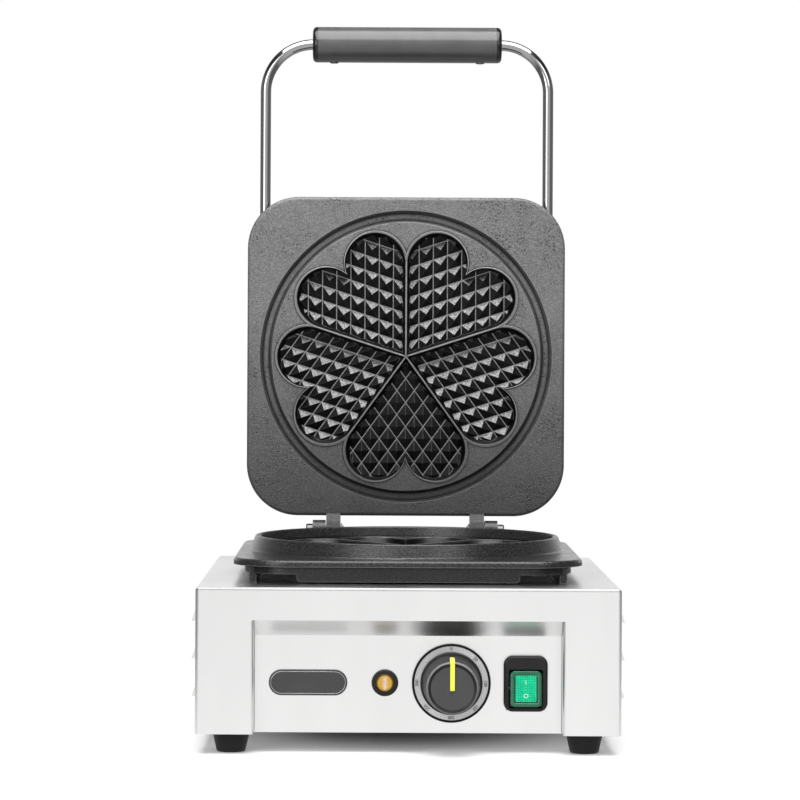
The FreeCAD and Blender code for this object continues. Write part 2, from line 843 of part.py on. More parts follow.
def make_bottom_cover():
    cover = body("bottom_cover")
    outline = sketch(cover, "bottom_outline", "XY_Plane", ("0", "0", "body_low"))
    pad(cover, trace(outline, [
        ("0 - inner_half", "cover_low_y", "bend_round"),
        ("0 - notch_half", "cover_low_y"),
        ("0 - notch_half", "cover_notch_y"),
        ("notch_half", "cover_notch_y"),
        ("notch_half", "cover_low_y"),
        ("inner_half", "cover_low_y", "bend_round"),
        ("inner_half", "cover_rear_y"),
        ("0 - inner_half", "cover_rear_y"),
    ]), "sheet_thick")
    holes = sketch(cover, "bottom_holes", "XY_Plane", ("0", "centre_shift", "body_low + sheet_thick + overrun"))
    for x, y, _ in corners_of("half_width - foot_inset_x", "base_depth / 2 - foot_inset_y"):
        circle(holes, "foot_bolt_dia + 2 * fit_gap", x, y)
    for x, y, _ in bottom_screw_spots():
        circle(holes, "screw_dia + 2 * fit_gap", x, y)
    pocket(cover, holes, "sheet_thick + 2 * overrun")
    slot = sketch(cover, "bottom_vent", "XY_Plane", ("0", "plate_y", "body_low + sheet_thick + overrun"))
    first = "0 - vent_step * (vent_count - 1) / 2"
    points = box_points("vent_width", "vent_length", "vent_width * vent_end_share", first)
    row_of(cover, [pocket(cover, trace(slot, points), "sheet_thick + 2 * overrun")],
           "X_Axis", "vent_count", "vent_step")
    return piece(cover, "bottom_cover")


def make_housing_screws():
    """Screws of the rear panel and of the bottom cover, in the folded lips of the housing."""
    points = screw_points("screw_dia", "screw_head_dia", "screw_head", "screw_length")
    rear = turned("rear_panel_screws", points, spots=rear_screw_spots())
    place(rear, "0", "rear_y", "body_low + body_height / 2", "-90")
    low = turned("bottom_cover_screws", points, spots=bottom_screw_spots())
    place(low, "0", "centre_shift", "body_low", "180")


def make_feet():
    spots = corners_of("half_width - foot_inset_x", "base_depth / 2 - foot_inset_y")
    feet = turned("rubber_feet", [
        ("foot_bolt_dia / 2 + fit_gap", "foot_height"),
        ("foot_bolt_dia / 2 + fit_gap", "foot_sink"),
        ("foot_head_dia / 2 + fit_gap", "foot_sink"),
        ("foot_head_dia / 2 + fit_gap", "0"),
        ("foot_low_dia / 2", "0", "foot_round"),
        ("foot_top_dia / 2", "foot_height"),
    ], spots=spots)
    bolts = turned("foot_bolts", [
        ("0", "foot_sink - foot_head"),
        ("foot_head_dia / 2", "foot_sink - foot_head"),
        ("foot_head_dia / 2", "foot_sink"),
        ("foot_bolt_dia / 2", "foot_sink"),
        ("foot_bolt_dia / 2", "foot_height + sheet_thick + foot_nut + overrun"),
        ("0", "foot_height + sheet_thick + foot_nut + overrun"),
    ], spots=spots)
    nuts = turned("foot_nuts", [
        ("foot_bolt_dia / 2", "foot_height + sheet_thick"),
        ("foot_nut_dia / 2", "foot_height + sheet_thick"),
        ("foot_nut_dia / 2", "foot_height + sheet_thick + foot_nut"),
        ("foot_bolt_dia / 2", "foot_height + sheet_thick + foot_nut"),
    ], spots=spots)
    for made in (feet, bolts, nuts):
        place(made, "0", "centre_shift", "0")


# Heart wells: a drafted heart whose floor is a field of rhombic pyramids, cut alike into both plates.

def heart_outline(owner, name, height, inset):
    """One heart about the middle of the plate: two straight sides and two round lobes."""
    half = math.radians(value("heart_half_angle"))
    radius = f"lobe_radius - lobe_draft_share * ({inset})"
    reach = f"heart_reach - lobe_radius - (1 - lobe_draft_share) * ({inset})"
    wall = f"heart_wall / 2 + {inset}"
    lean = half - math.asin((value(radius) + value(wall)) / value(reach))
    centre = FreeCAD.Vector(math.sin(lean), math.cos(lean), 0) * value(reach)
    tip = FreeCAD.Vector(0, value(wall) / math.sin(half), 0)
    touch = centre + FreeCAD.Vector(math.cos(half), -math.sin(half), 0) * value(radius)
    notch = FreeCAD.Vector(0, centre.y + math.sqrt(value(radius) ** 2 - centre.x ** 2), 0)
    outside = centre + (centre * (1 / centre.Length)) * value(radius)

    def other(point):
        return FreeCAD.Vector(-point.x, point.y, 0)

    made = sketch(owner, name, "XY_Plane", ("0", "0", height))
    right = made.addGeometry(Part.LineSegment(tip, touch), False)
    right_lobe = made.addGeometry(Part.Arc(touch, outside, notch), False)
    left_lobe = made.addGeometry(Part.Arc(notch, other(outside), other(touch)), False)
    left = made.addGeometry(Part.LineSegment(other(touch), tip), False)
    made.addConstraint(CORNER("Coincident", right, 1, left, 2))
    made.addConstraint(CORNER("PointOnObject", right, 1, -2))
    made.addConstraint(CORNER("Tangent", right, 2, right_lobe, 1))
    made.addConstraint(CORNER("Coincident", right_lobe, 2, left_lobe, 1))
    made.addConstraint(CORNER("Tangent", left_lobe, 2, left, 1))
    made.addConstraint(CORNER("Symmetric", right, 2, left, 1, -2))
    held = (
        (CORNER("Angle", right, 1, -2, 1, half), "heart_half_angle"),
        (CORNER("Distance", -1, 1, right, abs(value(wall))), f"abs({wall})"),
        (CORNER("Radius", right_lobe, value(radius)), radius),
        (CORNER("Equal", right_lobe, left_lobe), None),
        (CORNER("Distance", -1, 1, right_lobe, 3, value(reach)), reach),
    )
    for rule, text in held:
        index = made.addConstraint(rule)
        if text:
            bind(made, f"Constraints[{index}]", text)
    return made


def make_ridges(name, turn):
    """Parallel ridges of triangular section, set square to one straight side of the heart."""
    made = body(name)
    teeth = math.ceil((value("heart_reach") + value("pyramid_lead")) / value("pyramid_pitch"))
    points = [("0 - pyramid_lead", "0 - well_depth")]
    for tooth in range(teeth):
        start, end = (f"pyramid_pitch * {edge} - pyramid_lead" for edge in (tooth, tooth + 1))
        points.append((f"{start} + pyramid_gap / 2", "0 - well_depth"))
        points.append((f"{start} + pyramid_pitch / 2", "pyramid_height - well_depth"))
        points.append((f"{end} - pyramid_gap / 2", "0 - well_depth"))
    points.append((f"pyramid_pitch * {teeth} - pyramid_lead", "0 - well_depth"))
    points.append((f"pyramid_pitch * {teeth} - pyramid_lead", "0 - well_depth - 4 * overrun"))
    points.append(("0 - pyramid_lead", "0 - well_depth - 4 * overrun"))
    pad(made, trace(sketch(made, name + "_teeth", "XZ_Plane", ("0", "heart_reach", "0")), points), "2 * heart_reach")
    return place(made, turn=turn, axis=ZAXIS)


def make_heart_well():
    """The hollow of one heart: its drafted walls down to the pyramids."""
    heart = body("heart_hollow")
    draft = "well_inset / well_depth"
    top = heart_outline(heart, "heart_mouth", "rim_rise + overrun", f"0 - (rim_rise + overrun) * {draft}")
    low = heart_outline(heart, "heart_floor", "0 - well_depth - overrun", f"(well_depth + overrun) * {draft}")
    loft = heart.newObject("PartDesign::AdditiveLoft", "heart_walls")
    loft.Profile = (top, [""])
    loft.Sections = [(low, [""])]
    loft.Ruled = True
    field = doc.addObject("Part::Common", "pyramid_field")
    field.Base = make_ridges("left_ridges", "180 - heart_half_angle")
    field.Tool = make_ridges("right_ridges", "heart_half_angle")
    well = doc.addObject("Part::Cut", "heart_well")
    well.Base = heart
    well.Tool = field
    doc.recompute()
    return well


def make_heart_rim():
    """The raised rim of one heart, filled across; the well is cut out of it later."""
    rim = body("heart_rim")
    pad(rim, heart_outline(rim, "rim_outline", "0 - rim_rise", "0 - rim_width"), "2 * rim_rise")
    return rim


def make_flower(blank, name, heart_parts, first, y, z):
    """A casting with the hearts' rims added and their wells cut, evenly turned about its middle."""
    count = int(value("heart_count"))

    def petals(part):
        shapes = []
        for number in range(count):
            shape = part.Shape.copy()
            shape.rotate(FreeCAD.Vector(), ZAXIS, first + FULL_TURN * number / count)
            shapes.append(shape)
        return shapes

    rim, well = heart_parts
    rims = doc.addObject("Part::Feature", name + "_rims")
    rims.Shape = petals(rim)[0].multiFuse(petals(rim)[1:])
    wells = doc.addObject("Part::Feature", name + "_wells")
    wells.Shape = Part.makeCompound(petals(well))
    for made in (rims, wells):
        place(made, "0", y, z)
    raised = doc.addObject("Part::Fuse", name + "_raised")
    raised.Base = blank
    raised.Tool = rims
    plate = doc.addObject("Part::Cut", name)
    plate.Base = raised
    plate.Tool = wells
    return plate


# Lower plate: flange, ring and land in one casting, with lugs behind and posts below.

def make_lower_plate(heart_parts):
    blank = body("lower_blank")
    outline = sketch(blank, "lower_flange", "XY_Plane", ("0", "0", "flange_low"))
    pad(blank, trace(outline, box_points("plate_width", "plate_length", "plate_corner")), "flange_thick")
    rounded(blank, "edge_round", lambda edge: level(edge, "flange_rise"))
    outline = sketch(blank, "lower_body", "XY_Plane", ("0", "0", "plate_stand"))
    inset = "2 * body_inset"
    points = box_points(f"plate_width - {inset}", f"plate_length - {inset}", "plate_corner - body_inset")
    pad(blank, trace(outline, points), "flange_low - plate_stand + overrun")
    pad(blank, circle(sketch(blank, "lower_belly", "XY_Plane", ("0", "0", "belly_low")), "belly_dia"),
        "flange_low - belly_low")
    spin(blank, trace(sketch(blank, "lower_ring", "XZ_Plane"), [
        ("0", "flange_low"),
        ("ring_base_dia / 2", "flange_low"),
        ("ring_base_dia / 2", "flange_rise"),
        ("ring_top_dia / 2", "ring_top", "ring_round"),
        ("ring_inner_dia / 2", "ring_top", "ring_round"),
        ("ring_inner_dia / 2 - ring_draft", "land"),
        ("0", "land"),
    ]))
    rounded(blank, "ring_root", lambda edge: level(edge, "flange_rise") and edge.isClosed())
    skirt = sketch(blank, "drip_skirt", "XZ_Plane", ("0", "body_inset - half_plate", "0"))
    pad(blank, trace(skirt, [
        ("0 - drip_width / 2", "flange_low"),
        ("0 - drip_width / 2", "drip_clear", "drip_round"),
        ("drip_width / 2", "drip_clear", "drip_round"),
        ("drip_width / 2", "flange_low"),
    ]), "drip_thick", reverse=True)
    rail = sketch(blank, "side_rail", "XY_Plane", ("rail_x", "0", "0"))
    side = pad(blank, trace(rail, box_points("rail_thick", "rail_length")), "flange_low")
    mirror(blank, [side])
    posts = sketch(blank, "lower_posts", "XY_Plane")
    for x, y, _ in corners_of("post_x", "post_y"):
        circle(posts, "post_dia", x, y)
    pad(blank, posts, "flange_low")
    core = sketch(blank, "lower_clamp_post", "XY_Plane", ("0", "0", "belly_low - element_dia"))
    pad(blank, circle(core, "clamp_post_dia"), "element_dia + overrun")
    lug = sketch(blank, "lower_lug", "YZ_Plane", ("base_lug_x", "0", "0"))
    side = pad(blank, trace(lug, [
        ("half_plate - lug_root", "flange_low"),
        ("base_hinge_y + lug_radius", "flange_low", "lug_round"),
        ("base_hinge_y + lug_radius", "hinge_rise + lug_radius", "lug_round"),
        ("base_hinge_y - lug_radius", "hinge_rise + lug_radius", "lug_round"),
        ("base_hinge_y - lug_radius", "flange_rise"),
        ("half_plate - lug_root", "flange_rise"),
    ]), "base_lug_width")
    mirror(blank, [side])
    bore = sketch(blank, "lower_bore", "YZ_Plane", ("base_lug_end + overrun", "0", "0"))
    pocket(blank, circle(bore, "rivet_bore", "base_hinge_y", "hinge_rise"), "2 * (base_lug_end + overrun)")
    holes = sketch(blank, "lower_bolt_holes", "XY_Plane")
    for x, y, _ in corners_of("post_x", "post_y"):
        circle(holes, "bolt_dia + 2 * fit_gap", x, y)
    pocket(blank, holes, "bolt_length", reverse=True)
    hole = sketch(blank, "lower_clamp_hole", "XY_Plane", ("0", "0", "belly_low - element_dia"))
    pocket(blank, circle(hole, "bolt_dia + 2 * fit_gap"), "bolt_length - clamp_thick + overrun", reverse=True)

    plate = make_flower(blank, "lower_plate", heart_parts, 0, "0", "land")
    return place(piece(plate, "lower_plate"), "0", "plate_y", "base_top")


def make_plate_bolts():
    spots = corners_of("post_x", "post_y")
    points = screw_points("bolt_dia", "bolt_head_dia", "bolt_head", "bolt_length")
    place(turned("plate_bolts", points, spots=spots), "0", "plate_y", "base_top - sheet_thick", "180")


# Lid: the upper casting and what hangs on it, modelled about the hinge axis with its face along +Z.

def make_upper_plate(heart_parts):
    blank = body("upper_blank")
    outline = sketch(blank, "upper_flange", "XY_Plane", ("0", "lid_centre", "lid_back"))
    pad(blank, trace(outline, box_points("plate_width", "plate_length", "plate_corner")), "lid_flange")
    rounded(blank, "edge_round", lambda edge: level(edge, "face_drop"))
    belly = sketch(blank, "upper_belly", "XY_Plane", ("0", "lid_centre", "belly_back"))
    pad(blank, circle(belly, "lid_belly_dia"), "lid_back - belly_back + lid_flange / 2")
    groove = sketch(blank, "upper_groove", "XZ_Plane", ("0", "lid_centre", "face_drop"))
    spin(blank, trace(groove, [
        ("groove_inner", "0 - groove_depth"),
        ("groove_outer", "0 - groove_depth"),
        ("groove_mouth", "0"),
        ("groove_mouth", "overrun"),
        ("groove_edge", "overrun"),
        ("groove_edge", "0"),
    ]), kind="PartDesign::Groove")
    pillars = sketch(blank, "upper_pillars", "XY_Plane", ("0", "lid_centre", "cover_inside"))
    for x, y, _ in corners_of("pillar_x", "pillar_y"):
        circle(pillars, "pillar_dia", x, y)
    pad(blank, pillars, "lid_back - cover_inside + lid_flange / 2")
    core = sketch(blank, "upper_clamp_post", "XY_Plane", ("0", "lid_centre", "upper_clamp_z"))
    pad(blank, circle(core, "clamp_post_dia"), "element_dia + overrun")
    boss = sketch(blank, "rod_boss", "XY_Plane", ("handle_half", "boss_low", "boss_back"))
    side = pad(blank, trace(boss, [
        ("0 - boss_width / 2", "0", "boss_wall"),
        ("boss_width / 2", "0", "boss_wall"),
        ("boss_width / 2", "boss_length"),
        ("0 - boss_width / 2", "boss_length"),
    ]), "lid_back - boss_back + lid_flange / 2")
    mirror(blank, [side])
    lug = sketch(blank, "upper_lug", "YZ_Plane", ("lid_lug_x", "0", "0"))
    side = pad(blank, trace(lug, [
        ("hinge_offset + lug_root", "lid_back"),
        ("0 - lug_radius", "lid_back", "lug_round"),
        ("flange_low - hinge_rise", "0"),
        ("flange_low - hinge_rise", "hinge_offset - stop_gap"),
        ("0 - lug_radius / 2", "hinge_offset - stop_gap"),
        ("lug_radius", "lug_radius", "lug_radius / 2"),
        ("hinge_offset + face_drop", "face_drop"),
        ("hinge_offset + lug_root", "face_drop"),
    ]), "lid_lug_width")
    mirror(blank, [side])
    bore = sketch(blank, "upper_bore", "YZ_Plane", ("base_lug_x + overrun", "0", "0"))
    pocket(blank, circle(bore, "rivet_bore"), "2 * (base_lug_x + overrun)")
    rods = sketch(blank, "rod_bores", "XZ_Plane", ("0", "boss_high + overrun", "rod_z"))
    for x in ("handle_half", "0 - handle_half"):
        circle(rods, "rod_dia + 2 * rod_gap", x)
    pocket(blank, rods, "boss_high + overrun - rod_end", reverse=True)
    holes = sketch(blank, "set_screw_holes", "XY_Plane", ("0", "set_screw_y", "boss_back - overrun"))
    for x in ("handle_half", "0 - handle_half"):
        circle(holes, "set_screw_dia + 2 * fit_gap", x)
    pocket(blank, holes, "boss_wall + overrun", reverse=True)
    holes = sketch(blank, "pillar_holes", "XY_Plane", ("0", "lid_centre", "cover_inside - overrun"))
    for x, y, _ in corners_of("pillar_x", "pillar_y"):
        circle(holes, "screw_dia + 2 * fit_gap", x, y)
    circle(holes, "bolt_dia + 2 * fit_gap")
    pocket(blank, holes, "screw_length + overrun", reverse=True)
    hole = sketch(blank, "upper_clamp_hole", "XY_Plane", ("0", "lid_centre", "upper_clamp_z"))
    pocket(blank, circle(hole, "bolt_dia + 2 * fit_gap"), "bolt_length - clamp_thick + overrun", reverse=True)

    plate = make_flower(blank, "upper_plate", heart_parts, FULL_TURN / 2, "lid_centre", "face_drop")
    return on_lid(piece(plate, "upper_plate"))


def make_dish(name, wall):
    """A drawn form with drafted sides and a rounded edge about its flat back."""
    made = body(name)
    outline = sketch(made, name + "_outline", "XY_Plane", ("0", "lid_centre", "lid_back"))
    points = box_points(f"cover_width - 2 * {wall}", f"cover_length - 2 * {wall}", f"cover_corner - {wall}")
    pad(made, trace(outline, points), f"cover_height - {wall}", reverse=True, taper="0 - cover_draft")
    rounded(made, f"cover_round - {wall}", lambda edge: level(edge, f"cover_back + {wall}"))
    return made


def make_lid_cover():
    outside = make_dish("cover_outside", "0")
    holes = sketch(outside, "cover_holes", "XY_Plane", ("0", "lid_centre", "cover_back - overrun"))
    for x, y, _ in corners_of("pillar_x", "pillar_y"):
        circle(holes, "screw_dia + 2 * fit_gap", x, y)
    circle(holes, "gland_thread_dia + 2 * fit_gap", "cover_gland_x", "cover_gland_y - lid_centre")
    pocket(outside, holes, "sheet_thick + 2 * overrun", reverse=True)
    cover = doc.addObject("Part::Cut", "lid_cover")
    cover.Base = outside
    cover.Tool = make_dish("cover_hollow", "sheet_thick")
    on_lid(piece(cover, "lid_cover"))
    screws = turned("lid_cover_screws", [
        ("0", "cover_back + screw_length"),
        ("screw_dia / 2", "cover_back + screw_length"),
        ("screw_dia / 2", "cover_back"),
        ("screw_head_dia / 2", "cover_back"),
        ("screw_head_dia / 2", "cover_back - screw_head", "screw_head / 2"),
        ("0", "cover_back - screw_head"),
    ], spots=[(x, f"lid_centre + {y}", "0") for x, y, _ in corners_of("pillar_x", "pillar_y")])
    on_lid(screws)


def make_handle():
    """A bent rod whose ends are held in the casting, with a turned grip on its bar."""
    rod = body("handle_rod")
    path = sketch(rod, "rod_path", "XY_Plane", ("0", "0", "rod_z"))
    trace(path, [
        ("0 - handle_half", "rod_end"),
        ("0 - handle_half", "grip_y", "handle_bend"),
        ("handle_half", "grip_y", "handle_bend"),
        ("handle_half", "rod_end"),
    ], closed=False)
    sweep(rod, path, ("0 - handle_half", "rod_end", "rod_z"), "rod_dia")
    on_lid(piece(rod, "handle_rod"))

    grip = body("handle_grip")
    section = sketch(grip, "grip_section", "XY_Plane", ("0", "grip_y", "rod_z"))
    spin(grip, trace(section, [
        ("0 - grip_length / 2", "rod_dia / 2 + rod_gap"),
        ("grip_length / 2", "rod_dia / 2 + rod_gap"),
        ("grip_length / 2", "grip_nose_dia / 2", "grip_round"),
        ("grip_length / 2 - grip_dome", "grip_dia / 2"),
        ("grip_dome - grip_length / 2", "grip_dia / 2"),
        ("0 - grip_length / 2", "grip_nose_dia / 2", "grip_round"),
    ]), "H_Axis")
    under = "grip_y - grip_dia / 2"
    for name, dia, depth in (("grip_holes", "grip_screw_dia + 2 * fit_gap", "grip_dia / 2"),
                             ("grip_spots", "grip_head_dia + 2 * fit_gap", "grip_spot + overrun")):
        holes = sketch(grip, name, "XZ_Plane", ("0", under + " - overrun", "rod_z"))
        for x in ("grip_screw_x", "0 - grip_screw_x"):
            circle(holes, dia, x)
        pocket(grip, holes, depth)
    on_lid(piece(grip, "handle_grip"))
    seat = "grip_spot - grip_dia / 2"
    screws = turned("grip_screws", [
        ("0", f"{seat} - grip_head"),
        ("grip_head_dia / 2", f"{seat} - grip_head", "grip_head / 2"),
        ("grip_head_dia / 2", seat),
        ("grip_screw_dia / 2", seat),
        ("grip_screw_dia / 2", "0 - rod_dia / 2"),
        ("0", "0 - rod_dia / 2"),
    ], "XY_Plane", [("grip_screw_x", "grip_y", "rod_z"), ("0 - grip_screw_x", "grip_y", "rod_z")])
    on_lid(screws)
    pins = turned("handle_set_screws", [
        ("0", "boss_back - set_screw_proud"),
        ("set_screw_dia / 2", "boss_back - set_screw_proud"),
        ("set_screw_dia / 2", "rod_z - rod_dia / 2"),
        ("0", "rod_z - rod_dia / 2"),
    ], spots=[("handle_half", "set_screw_y", "0"), ("0 - handle_half", "set_screw_y", "0")])
    on_lid(pins)


def sweep(owner, path, spot, dia):
    """A round bar of one diameter along a path that starts along Y."""
    section = circle(sketch(owner, path.Name + "_section", "XZ_Plane", spot), dia)
    made = owner.newObject("PartDesign::AdditivePipe", path.Name + "_bar")
    made.Profile = (section, [""])
    made.Spine = (path, [])
    doc.recompute()
    return made


# Heating elements: a bent sheathed rod under each casting, pressed on by a strap.

def make_element(name, y, z, near, far):
    """A loop open at its near end, where both tails leave it side by side."""
    rod = body(name + "_element")
    path = sketch(rod, name + "_element_path", "XY_Plane", ("0", y, z))
    half_gap, half_wide = "element_tail_gap / 2", "element_width / 2"
    tail = f"({near}) * (1 + 2 * element_tail / element_length)"
    right = [
        (half_wide, far, "element_bend"),
        (half_wide, near, "element_bend"),
        (half_gap, near, "element_bend"),
        (half_gap, tail),
    ]
    left = [(f"0 - {point[0]}",) + point[1:] for point in reversed(right)]
    trace(path, left + right, closed=False)
    sweep(rod, path, (f"0 - {half_gap}", f"{y} + {tail}", z), "element_dia")
    return piece(rod, name + "_element")


def make_clamp(name, y, z, reverse):
    strap = body(name + "_clamp")
    outline = sketch(strap, name + "_clamp_outline", "XY_Plane", ("0", y, z))
    points = box_points("element_width + 2 * clamp_overlap", "clamp_width", "clamp_width / 4")
    pad(strap, trace(outline, points), "clamp_thick", reverse=reverse)
    hole = sketch(strap, name + "_clamp_hole", "XY_Plane", ("0", y, z))
    pocket(strap, circle(hole, "bolt_dia + 2 * fit_gap"), "clamp_thick + overrun", reverse=not reverse)
    return piece(strap, name + "_clamp")


def make_heaters():
    ahead, behind = "element_length / 2", "0 - element_length / 2"
    make_element("lower", "plate_y", "lower_element_z", ahead, behind)
    make_clamp("lower", "plate_y", "lower_clamp_z", True)
    points = screw_points("bolt_dia", "bolt_head_dia", "bolt_head", "bolt_length")
    place(turned("lower_clamp_bolt", points), "0", "plate_y", "lower_clamp_z - clamp_thick", "180")
    on_lid(make_element("upper", "lid_centre", "upper_element_z", behind, ahead))
    on_lid(make_clamp("upper", "lid_centre", "upper_clamp_z", True))
    seat = "upper_clamp_z - clamp_thick"
    on_lid(turned("upper_clamp_bolt", [
        ("0", f"{seat} + bolt_length"),
        ("bolt_dia / 2", f"{seat} + bolt_length"),
        ("bolt_dia / 2", seat),
        ("bolt_head_dia / 2", seat),
        ("bolt_head_dia / 2", f"{seat} - bolt_head", "bolt_head / 4"),
        ("0", f"{seat} - bolt_head"),
    ], spots=[("0", "lid_centre", "0")]))
    wool = body("insulation_pad")
    outline = sketch(wool, "pad_outline", "XY_Plane", ("0", "lid_centre", "cover_inside"))
    pad(wool, trace(outline, box_points("pad_width", "pad_length", "pad_corner")),
        f"{seat} - bolt_head - fit_gap - cover_inside")
    on_lid(piece(wool, "insulation_pad"))


def make_heat_shield():
    shield = body("heat_shield")
    section = sketch(shield, "shield_section", "XZ_Plane",
                     ("0", "plate_y + shield_length / 2", "base_top - sheet_thick"))
    half, floor = "shield_width / 2", "0 - shield_drop"
    right = [
        (half, floor),
        (half, "0 - sheet_thick"),
        (f"{half} + shield_lip", "0 - sheet_thick"),
        (f"{half} + shield_lip", "0"),
        (f"{half} - sheet_thick", "0"),
        (f"{half} - sheet_thick", f"{floor} + sheet_thick"),
    ]
    left = [(f"0 - ({x})", z) for x, z in reversed(right)]
    pad(shield, trace(section, right + left), "shield_length")
    hole = sketch(shield, "capillary_hole", "XY_Plane", ("knob_x", "capillary_y", "base_top - sheet_thick"))
    pocket(shield, circle(hole, "capillary_dia + 4 * overrun"), "shield_drop + overrun")
    return piece(shield, "heat_shield")


# Hinge: two headed pins, each through a lug of either casting, kept by a clip.

def make_hinge():
    pins = body("hinge_pins")
    section = sketch(pins, "pin_section", "XY_Plane")
    side = spin(pins, trace(section, [
        ("lid_lug_x - rivet_tail", "0"),
        ("lid_lug_x - rivet_tail", "rivet_dia / 2"),
        ("clip_seat - fit_gap", "rivet_dia / 2"),
        ("clip_seat - fit_gap", "rivet_dia / 2 - clip_groove"),
        ("clip_seat + clip_thick", "rivet_dia / 2 - clip_groove"),
        ("clip_seat + clip_thick", "rivet_dia / 2"),
        ("base_lug_end", "rivet_dia / 2"),
        ("base_lug_end", "rivet_head_dia / 2"),
        ("base_lug_end + rivet_head", "rivet_head_dia / 2", "rivet_head / 4"),
        ("base_lug_end + rivet_head", "0"),
    ]), "H_Axis")
    mirror(pins, [side])
    place(piece(pins, "hinge_pins"), "0", "hinge_y", "hinge_z")
    clips = body("pin_clips")
    section = sketch(clips, "clip_section", "XY_Plane")
    side = spin(clips, trace(section, [
        ("clip_seat", "rivet_dia / 2 - clip_groove"),
        ("clip_seat", "clip_dia / 2"),
        ("clip_seat + clip_thick - fit_gap", "clip_dia / 2"),
        ("clip_seat + clip_thick - fit_gap", "rivet_dia / 2 - clip_groove"),
    ]), "H_Axis")
    mirror(clips, [side])
    place(piece(clips, "pin_clips"), "0", "hinge_y", "hinge_z")


# Dial, knob and thermostat, about one axis out of the panel.

def make_dial():
    inner = "stat_neck_dia / 2 + fit_gap"
    ring = turned("dial_ring", [
        (inner, "0"),
        ("dial_dia / 2", "0"),
        ("dial_dia / 2", "dial_thick + dial_rim_rise", "dial_rim / 3"),
        ("dial_dia / 2 - dial_rim", "dial_thick + dial_rim_rise", "dial_rim / 3"),
        ("dial_dia / 2 - dial_rim", "dial_thick"),
        (inner, "dial_thick"),
    ])
    on_panel(ring, "knob_x")


def pointer_bar(owner, name):
    """The bent bar of the pointer: along the face from just past the middle, then down the side."""
    bar = sketch(owner, name, "YZ_Plane", ("0 - pointer_width / 2", "0", "0"))
    face, low = "knob_face_dia / 2", "knob_top - pointer_side"
    waist = f"{face} + (knob_waist_dia - knob_face_dia) / 2 * pointer_side / (knob_height - knob_skirt)"
    return trace(bar, [
        ("0 - pointer_past", "knob_top + pointer_proud"),
        ("0 - pointer_past", "knob_top - pointer_depth"),
        (f"{face} - pointer_depth", "knob_top - pointer_depth"),
        (f"{waist} - pointer_depth", low),
        (f"{waist} + pointer_proud", low),
        (f"{face} + pointer_proud", "knob_top + pointer_proud", "knob_round"),
    ])


def make_knob():
    knob = turned("control_knob", [
        ("shaft_dia / 2 + shaft_fit", "knob_seat"),
        ("knob_skirt_dia / 2", "knob_seat"),
        ("knob_skirt_dia / 2", "knob_seat + knob_skirt", "knob_round"),
        ("knob_waist_dia / 2", "knob_seat + knob_skirt"),
        ("knob_face_dia / 2", "knob_top", "knob_round"),
        ("knob_face_dia / 2 - knob_land", "knob_top"),
        ("knob_face_dia / 2 - 2 * knob_land", "knob_top - knob_dish"),
        ("0", "knob_top - knob_dish"),
        ("0", "knob_seat + shaft_grip"),
        ("shaft_dia / 2 + shaft_fit", "knob_seat + shaft_grip"),
    ])
    pocket(knob, pointer_bar(knob, "pointer_groove"), "pointer_width", reverse=True)
    on_panel(knob, "knob_x")
    pointer = body("knob_pointer")
    pad(pointer, pointer_bar(pointer, "pointer_outline"), "pointer_width")
    on_panel(piece(pointer, "knob_pointer"), "knob_x")
    shaft = turned("thermostat_shaft", [
        ("0", "0 - sheet_thick - shaft_sink"),
        ("shaft_dia / 2", "0 - sheet_thick - shaft_sink"),
        ("shaft_dia / 2", "knob_seat + shaft_grip - fit_gap"),
        ("0", "knob_seat + shaft_grip - fit_gap"),
    ])
    flat = sketch(shaft, "shaft_flat_cut", "XY_Plane", ("0", "0", "knob_seat + shaft_grip"))
    points = box_points("shaft_dia", "shaft_flat", None, "0", "shaft_dia / 2")
    pocket(shaft, trace(flat, points), "shaft_grip")
    on_panel(shaft, "knob_x")


def make_thermostat():
    made = body("thermostat_body")
    case = sketch(made, "stat_case", "XY_Plane", ("0", "0", "0 - sheet_thick"))
    pad(made, trace(case, box_points("stat_width", "stat_height", "stat_width / 12")), "stat_depth", reverse=True)
    neck = sketch(made, "stat_neck", "XY_Plane", ("0", "0", "0 - sheet_thick"))
    pad(made, circle(neck, "stat_neck_dia"), "sheet_thick + dial_thick")
    bore = sketch(made, "stat_bore", "XY_Plane", ("0", "0", "dial_thick"))
    pocket(made, circle(bore, "shaft_dia + 2 * shaft_fit"), "dial_thick + sheet_thick + shaft_sink + fit_gap")
    on_panel(piece(made, "thermostat_body"), "knob_x")

    bulb = body("sensor_bulb")
    path = sketch(bulb, "capillary_path", "YZ_Plane", ("knob_x", "0", "0"))
    bulb_front = "capillary_y + bulb_lead"
    trace(path, [
        ("stat_back", "control_z"),
        ("capillary_y", "control_z", "capillary_bend"),
        ("capillary_y", "bulb_z", "capillary_bend"),
        (bulb_front, "bulb_z"),
    ], closed=False)
    sweep(bulb, path, ("knob_x", "stat_back", "control_z"), "capillary_dia")
    end = sketch(bulb, "bulb_end", "XZ_Plane", ("knob_x", bulb_front, "bulb_z"))
    pad(bulb, circle(end, "bulb_dia"), "bulb_length", reverse=True)
    piece(bulb, "sensor_bulb")


# Signal lamp, rocker switch and blank badge beside the dial.

